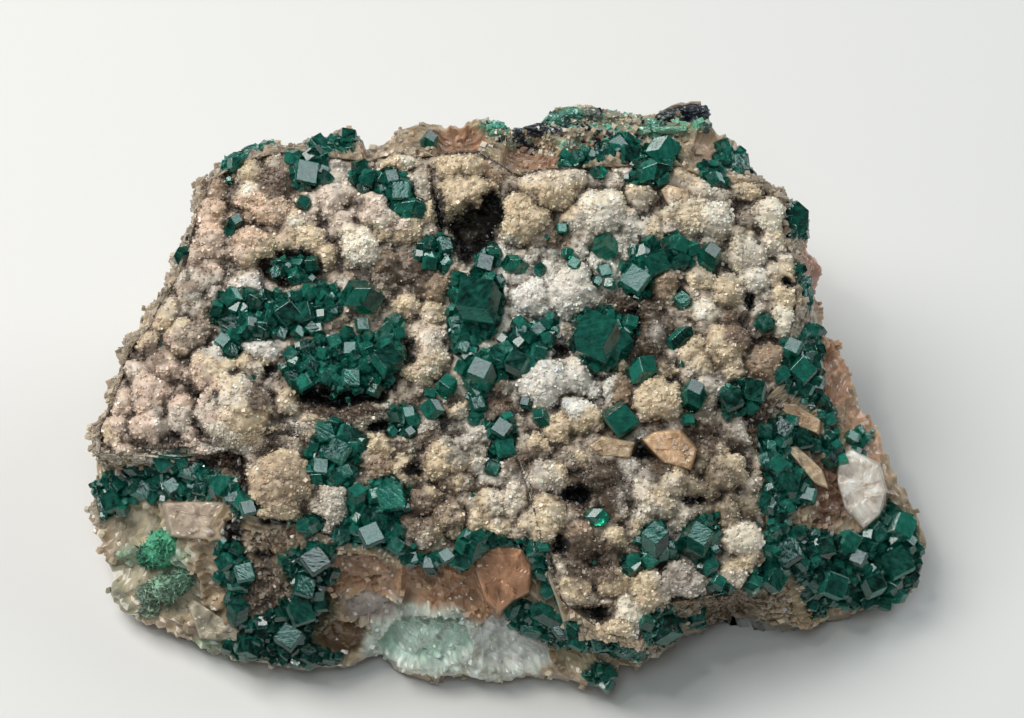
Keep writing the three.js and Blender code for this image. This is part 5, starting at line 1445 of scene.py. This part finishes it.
def make_fibres():
    """Short fibres on the malachite lumps: random places on their mesh, any direction, light or dark."""
    count = len(malachite.data.vertices)
    points = np.empty(count * 3, np.float32)
    malachite.data.vertices.foreach_get("co", points)
    points = points.reshape(-1, 3) / MM
    colours = np.empty(count * 4, np.float32)
    malachite.data.attributes["tint"].data.foreach_get("color", colours)
    chosen = random.integers(0, count, FIBRE_COUNT)
    places = points[chosen] + 0.25 * random.normal(size=(FIBRE_COUNT, 3))
    light = 0.25 + 1.1 * random.random((FIBRE_COUNT, 1)) ** 1.5
    sizes = 0.12 + 0.1 * random.random(FIBRE_COUNT)
    fibres = make_rhombs("malachite_fibres", places, random_turns(FIBRE_COUNT), sizes,
                         colours.reshape(-1, 4)[chosen, :3] * light, FIBRE_STRETCH)
    return fibres


malachite_fibres = make_fibres()

# %% [markdown]
# Every mineral here has the same fine speckle, so it is a node group: a fine cell pattern and a soft noise
# give a lighter or darker colour and a height for the bump. Each material places it with its own scale and
# strength.

# %% The speckle group
def new_node(tree, kind, inputs=None, **settings):
    """A shader node with its settings; each input is a value, or the socket that is linked to it."""
    node = tree.nodes.new("ShaderNode" + kind)
    for name, value in settings.items():
        setattr(node, name, value)
    for socket, value in (inputs or {}).items():
        if isinstance(value, bpy.types.NodeSocket):
            tree.links.new(value, node.inputs[socket])
        else:
            node.inputs[socket].default_value = value
    return node


def math_node(tree, operation, first, second, clamp=False):
    """The output of a math node on two inputs, each a socket or a number."""
    return new_node(tree, "Math", {0: first, 1: second}, operation=operation, use_clamp=clamp).outputs[0]


def mixed_colour(tree, share, first, second, blend="MIX"):
    """The output of a colour mix: the share, then the two colours, each a socket or a value."""
    inputs = {"Factor": share, "A": first, "B": second}
    return new_node(tree, "Mix", inputs, data_type="RGBA", blend_type=blend).outputs["Result"]


def speckle_group():
    """Colour times a speckle, and a height: cells at Scale, soft noise at a fifth of it."""
    group = bpy.data.node_groups.new("mineral speckle", "ShaderNodeTree")
    inputs = ("Colour", "Color", (1, 1, 1, 1)), ("Scale", "Float", 1200.0), ("Strength", "Float", 0.3)
    for name, kind, value in inputs:
        socket = group.interface.new_socket(name=name, in_out="INPUT", socket_type="NodeSocket" + kind)
        socket.default_value = value
    group.interface.new_socket(name="Colour", in_out="OUTPUT", socket_type="NodeSocketColor")
    group.interface.new_socket(name="Height", in_out="OUTPUT", socket_type="NodeSocketFloat")
    start, end = group.nodes.new("NodeGroupInput").outputs, group.nodes.new("NodeGroupOutput").inputs
    place = new_node(group, "TexCoord").outputs["Object"]
    cells = new_node(group, "TexVoronoi", {"Vector": place, "Scale": start["Scale"]}, feature="F1")
    fifth = math_node(group, "MULTIPLY", start["Scale"], 0.2)
    soft = new_node(group, "TexNoise", {"Vector": place, "Scale": fifth, "Detail": 4})
    grey = new_node(group, "SeparateColor", {0: cells.outputs["Color"]}).outputs
    both = math_node(group, "ADD", grey[0], soft.outputs[0])
    bright = new_node(group, "MapRange", {"Value": both, "From Max": 2, "To Min": 0.45, "To Max": 1.5})
    tinted = mixed_colour(group, start["Strength"], start["Colour"], bright.outputs["Result"], "MULTIPLY")
    group.links.new(tinted, end["Colour"])
    group.links.new(grey[1], end["Height"])
    return group


speckle = speckle_group()
print("group outputs:", [item.name for item in speckle.interface.items_tree if item.in_out == "OUTPUT"])


# %% Materials
def new_material(name, settings):
    """A Principled material with some of its values set; returns it and its shader."""
    material = bpy.data.materials.new(name)
    material.use_nodes = True
    shader = material.node_tree.nodes["Principled BSDF"]
    for socket, value in settings.items():
        shader.inputs[socket].default_value = value
    return material, shader


def add_bump(tree, shader, height, strength, distance):
    """Tilts the shader's normal by a height; the distance is in metres."""
    raised = new_node(tree, "Bump", {"Height": height, "Strength": strength, "Distance": distance})
    tree.links.new(raised.outputs["Normal"], shader.inputs["Normal"])


def mineral(name, scale, strength, bump, settings):
    """A Principled material whose colour is the piece's tint attribute through the speckle group."""
    material, shader = new_material(name, settings)
    tree = material.node_tree
    tint = new_node(tree, "Attribute", attribute_name="tint")
    inputs = {"Colour": tint.outputs["Color"], "Scale": scale, "Strength": strength}
    grain = new_node(tree, "Group", inputs, node_tree=speckle)
    tree.links.new(grain.outputs["Colour"], shader.inputs["Base Color"])
    add_bump(tree, shader, grain.outputs["Height"], bump, 0.0002)
    return material


SUGAR = {"Roughness": 0.4, "IOR": 1.55, "Subsurface Weight": 0.15, "Subsurface Radius": (1.0, 0.8, 0.6),
         "Subsurface Scale": 0.001}
druse_finish = mineral("druse crust", 2600, 0.5, 0.5, SUGAR)
grain_finish = mineral("druse grains", 1500, 0.25, 0.2, SUGAR | {"Roughness": 0.22})
calcite_finish = mineral("calcite", 500, 0.35, 0.25, SUGAR | {
    "Roughness": 0.2, "IOR": 1.6, "Subsurface Weight": 0.5, "Subsurface Scale": 0.003})
ore_finish = mineral("dark ore", 1800, 0.5, 0.5, {"Roughness": 0.35, "Metallic": 0.3, "IOR": 1.9})
malachite_finish = mineral("malachite", 3000, 0.7, 0.8, {"Roughness": 0.75, "IOR": 1.6})


# Green of a dark and of a bright part of a crystal, and the colour and strength a metre of its absorption.
DARK_GREEN = (0.002, 0.05, 0.034, 1)
BRIGHT_GREEN = (0.07, 0.72, 0.53, 1)
ABSORBED_TO = (0.02, 0.7, 0.55, 1)
ABSORPTION = 450.0
# The sum of a face's light, its veils and its growth lines from which it brightens.
BRIGHT_FROM = 0.93


def noise_in_crystal(tree, stretch, detail):
    """Noise over a crystal's own coordinates, stretched by three factors a millimetre."""
    grown = new_node(tree, "Attribute", attribute_name="grown")
    stretched = new_node(tree, "VectorMath", {0: grown.outputs["Vector"], 1: stretch}, operation="MULTIPLY")
    inputs = {"Vector": stretched.outputs[0], "Scale": 1.0, "Detail": detail}
    return new_node(tree, "TexNoise", inputs).outputs[0]


def dioptase_material():
    """Clear green by transmission, IOR and absorption; each face's painted light, veils and growth lines
    vary the colour.
    """
    material, shader = new_material("dioptase", {
        "IOR": 1.67, "Specular IOR Level": 0.5, "Transmission Weight": 0.78})
    tree = material.node_tree
    absorb = new_node(tree, "VolumeAbsorption", {"Color": ABSORBED_TO, "Density": ABSORPTION})
    tree.links.new(absorb.outputs["Volume"], tree.nodes["Material Output"].inputs["Volume"])
    facet = new_node(tree, "Attribute", attribute_name="facet")
    lines = noise_in_crystal(tree, (0.5, 0.5, 3.0), 2)
    veils = noise_in_crystal(tree, (0.8, 0.8, 0.8), 4)
    veiled = math_node(tree, "ADD", facet.outputs["Fac"], veils)
    share = math_node(tree, "SUBTRACT", math_node(tree, "ADD", veiled, lines), BRIGHT_FROM, clamp=True)
    tree.links.new(mixed_colour(tree, share, DARK_GREEN, BRIGHT_GREEN), shader.inputs["Base Color"])
    etched = math_node(tree, "SUBTRACT", math_node(tree, "MULTIPLY", veils, 0.6), 0.2, clamp=True)
    tree.links.new(etched, shader.inputs["Roughness"])
    add_bump(tree, shader, math_node(tree, "ADD", lines, veils), 0.28, 0.0001)
    return material


dioptase_finish = dioptase_material()
for finish, dressed in (
    (druse_finish, [druse]), (grain_finish, druse_grains), (ore_finish, [ore]),
    (calcite_finish, [calcite_block, calcite_chips, *calcite_blocks]),
    (malachite_finish, [malachite, malachite_fibres]), (dioptase_finish, dioptase_pieces),
):
    for piece in dressed:
        piece.data.materials.append(finish)
print("materials:", [item.name for item in bpy.data.materials])

# %% [markdown]
# The specimen stands on a pale table under a broad soft light from behind and to the left, as in a
# photographer's tent. The flat crystal faces mirror cool panels overhead and to the right, and a small lamp
# makes the grains sparkle.

# %% Table, lights and camera
TABLE_HALF = 1.5
table = bpy.data.meshes.new("table")
table_corners = [(x * TABLE_HALF, y * TABLE_HALF, 0) for x, y in ((-1, -1), (1, -1), (1, 1), (-1, 1))]
table.from_pydata(table_corners, [], [(0, 1, 2, 3)])
table = bpy.data.objects.new("table", table)
bpy.context.scene.collection.objects.link(table)
table_finish, _ = new_material("pale table", {"Base Color": (0.78, 0.77, 0.75, 1), "Roughness": 0.8})
table.data.materials.append(table_finish)


def aim(item, place, target):
    """Moves an item to a place and turns its -Z axis to the target."""
    item.location = place
    item.rotation_euler = (Vector(target) - Vector(place)).to_track_quat("-Z", "Y").to_euler()


def soft_light(name, place, size, power, colour):
    """A square area light aimed at the specimen."""
    lamp = bpy.data.lights.new(name, "AREA")
    lamp.size = size
    lamp.energy = power
    lamp.color = colour
    light = bpy.data.objects.new(name, lamp)
    bpy.context.scene.collection.objects.link(light)
    aim(light, place, (0, 0, 0.03))


soft_light("key light", (-0.42, 0.18, 0.66), 0.5, 5.5, (1.0, 0.98, 0.95))
soft_light("front panel", (-0.05, -0.3, 0.72), 0.3, 1.15, (0.85, 0.97, 1.0))
soft_light("right panel", (0.5, 0.3, 0.45), 0.4, 1.6, (0.88, 0.96, 1.0))
soft_light("sparkle light", (-0.25, -0.1, 0.8), 0.05, 0.5, (1.0, 0.98, 0.95))
world = bpy.data.worlds.new("studio")
world.use_nodes = True
world.node_tree.nodes["Background"].inputs["Color"].default_value = (0.9, 0.93, 1.0, 1)
world.node_tree.nodes["Background"].inputs["Strength"].default_value = 0.07
bpy.context.scene.world = world
bpy.context.scene.view_settings.view_transform = "Standard"

# The sensor's width in millimetres and the picture's in pixels.
SENSOR_WIDTH, PICTURE_WIDTH = 36, 1024
camera_data = bpy.data.cameras.new("camera")
camera = bpy.data.objects.new("camera", camera_data)
bpy.context.scene.collection.objects.link(camera)
eye = (MIDDLE_POINT + SIGHT_OUT * SIGHT_DISTANCE) * MM
aim(camera, tuple(eye), tuple(MIDDLE_POINT * MM))
camera_data.sensor_width = SENSOR_WIDTH
camera_data.lens = SENSOR_WIDTH * SIGHT_DISTANCE / (PICTURE_WIDTH * MM_PER_PIXEL)
camera_data.clip_start = 0.01
bpy.context.scene.camera = camera
print("lens", round(camera_data.lens, 1), "mm")
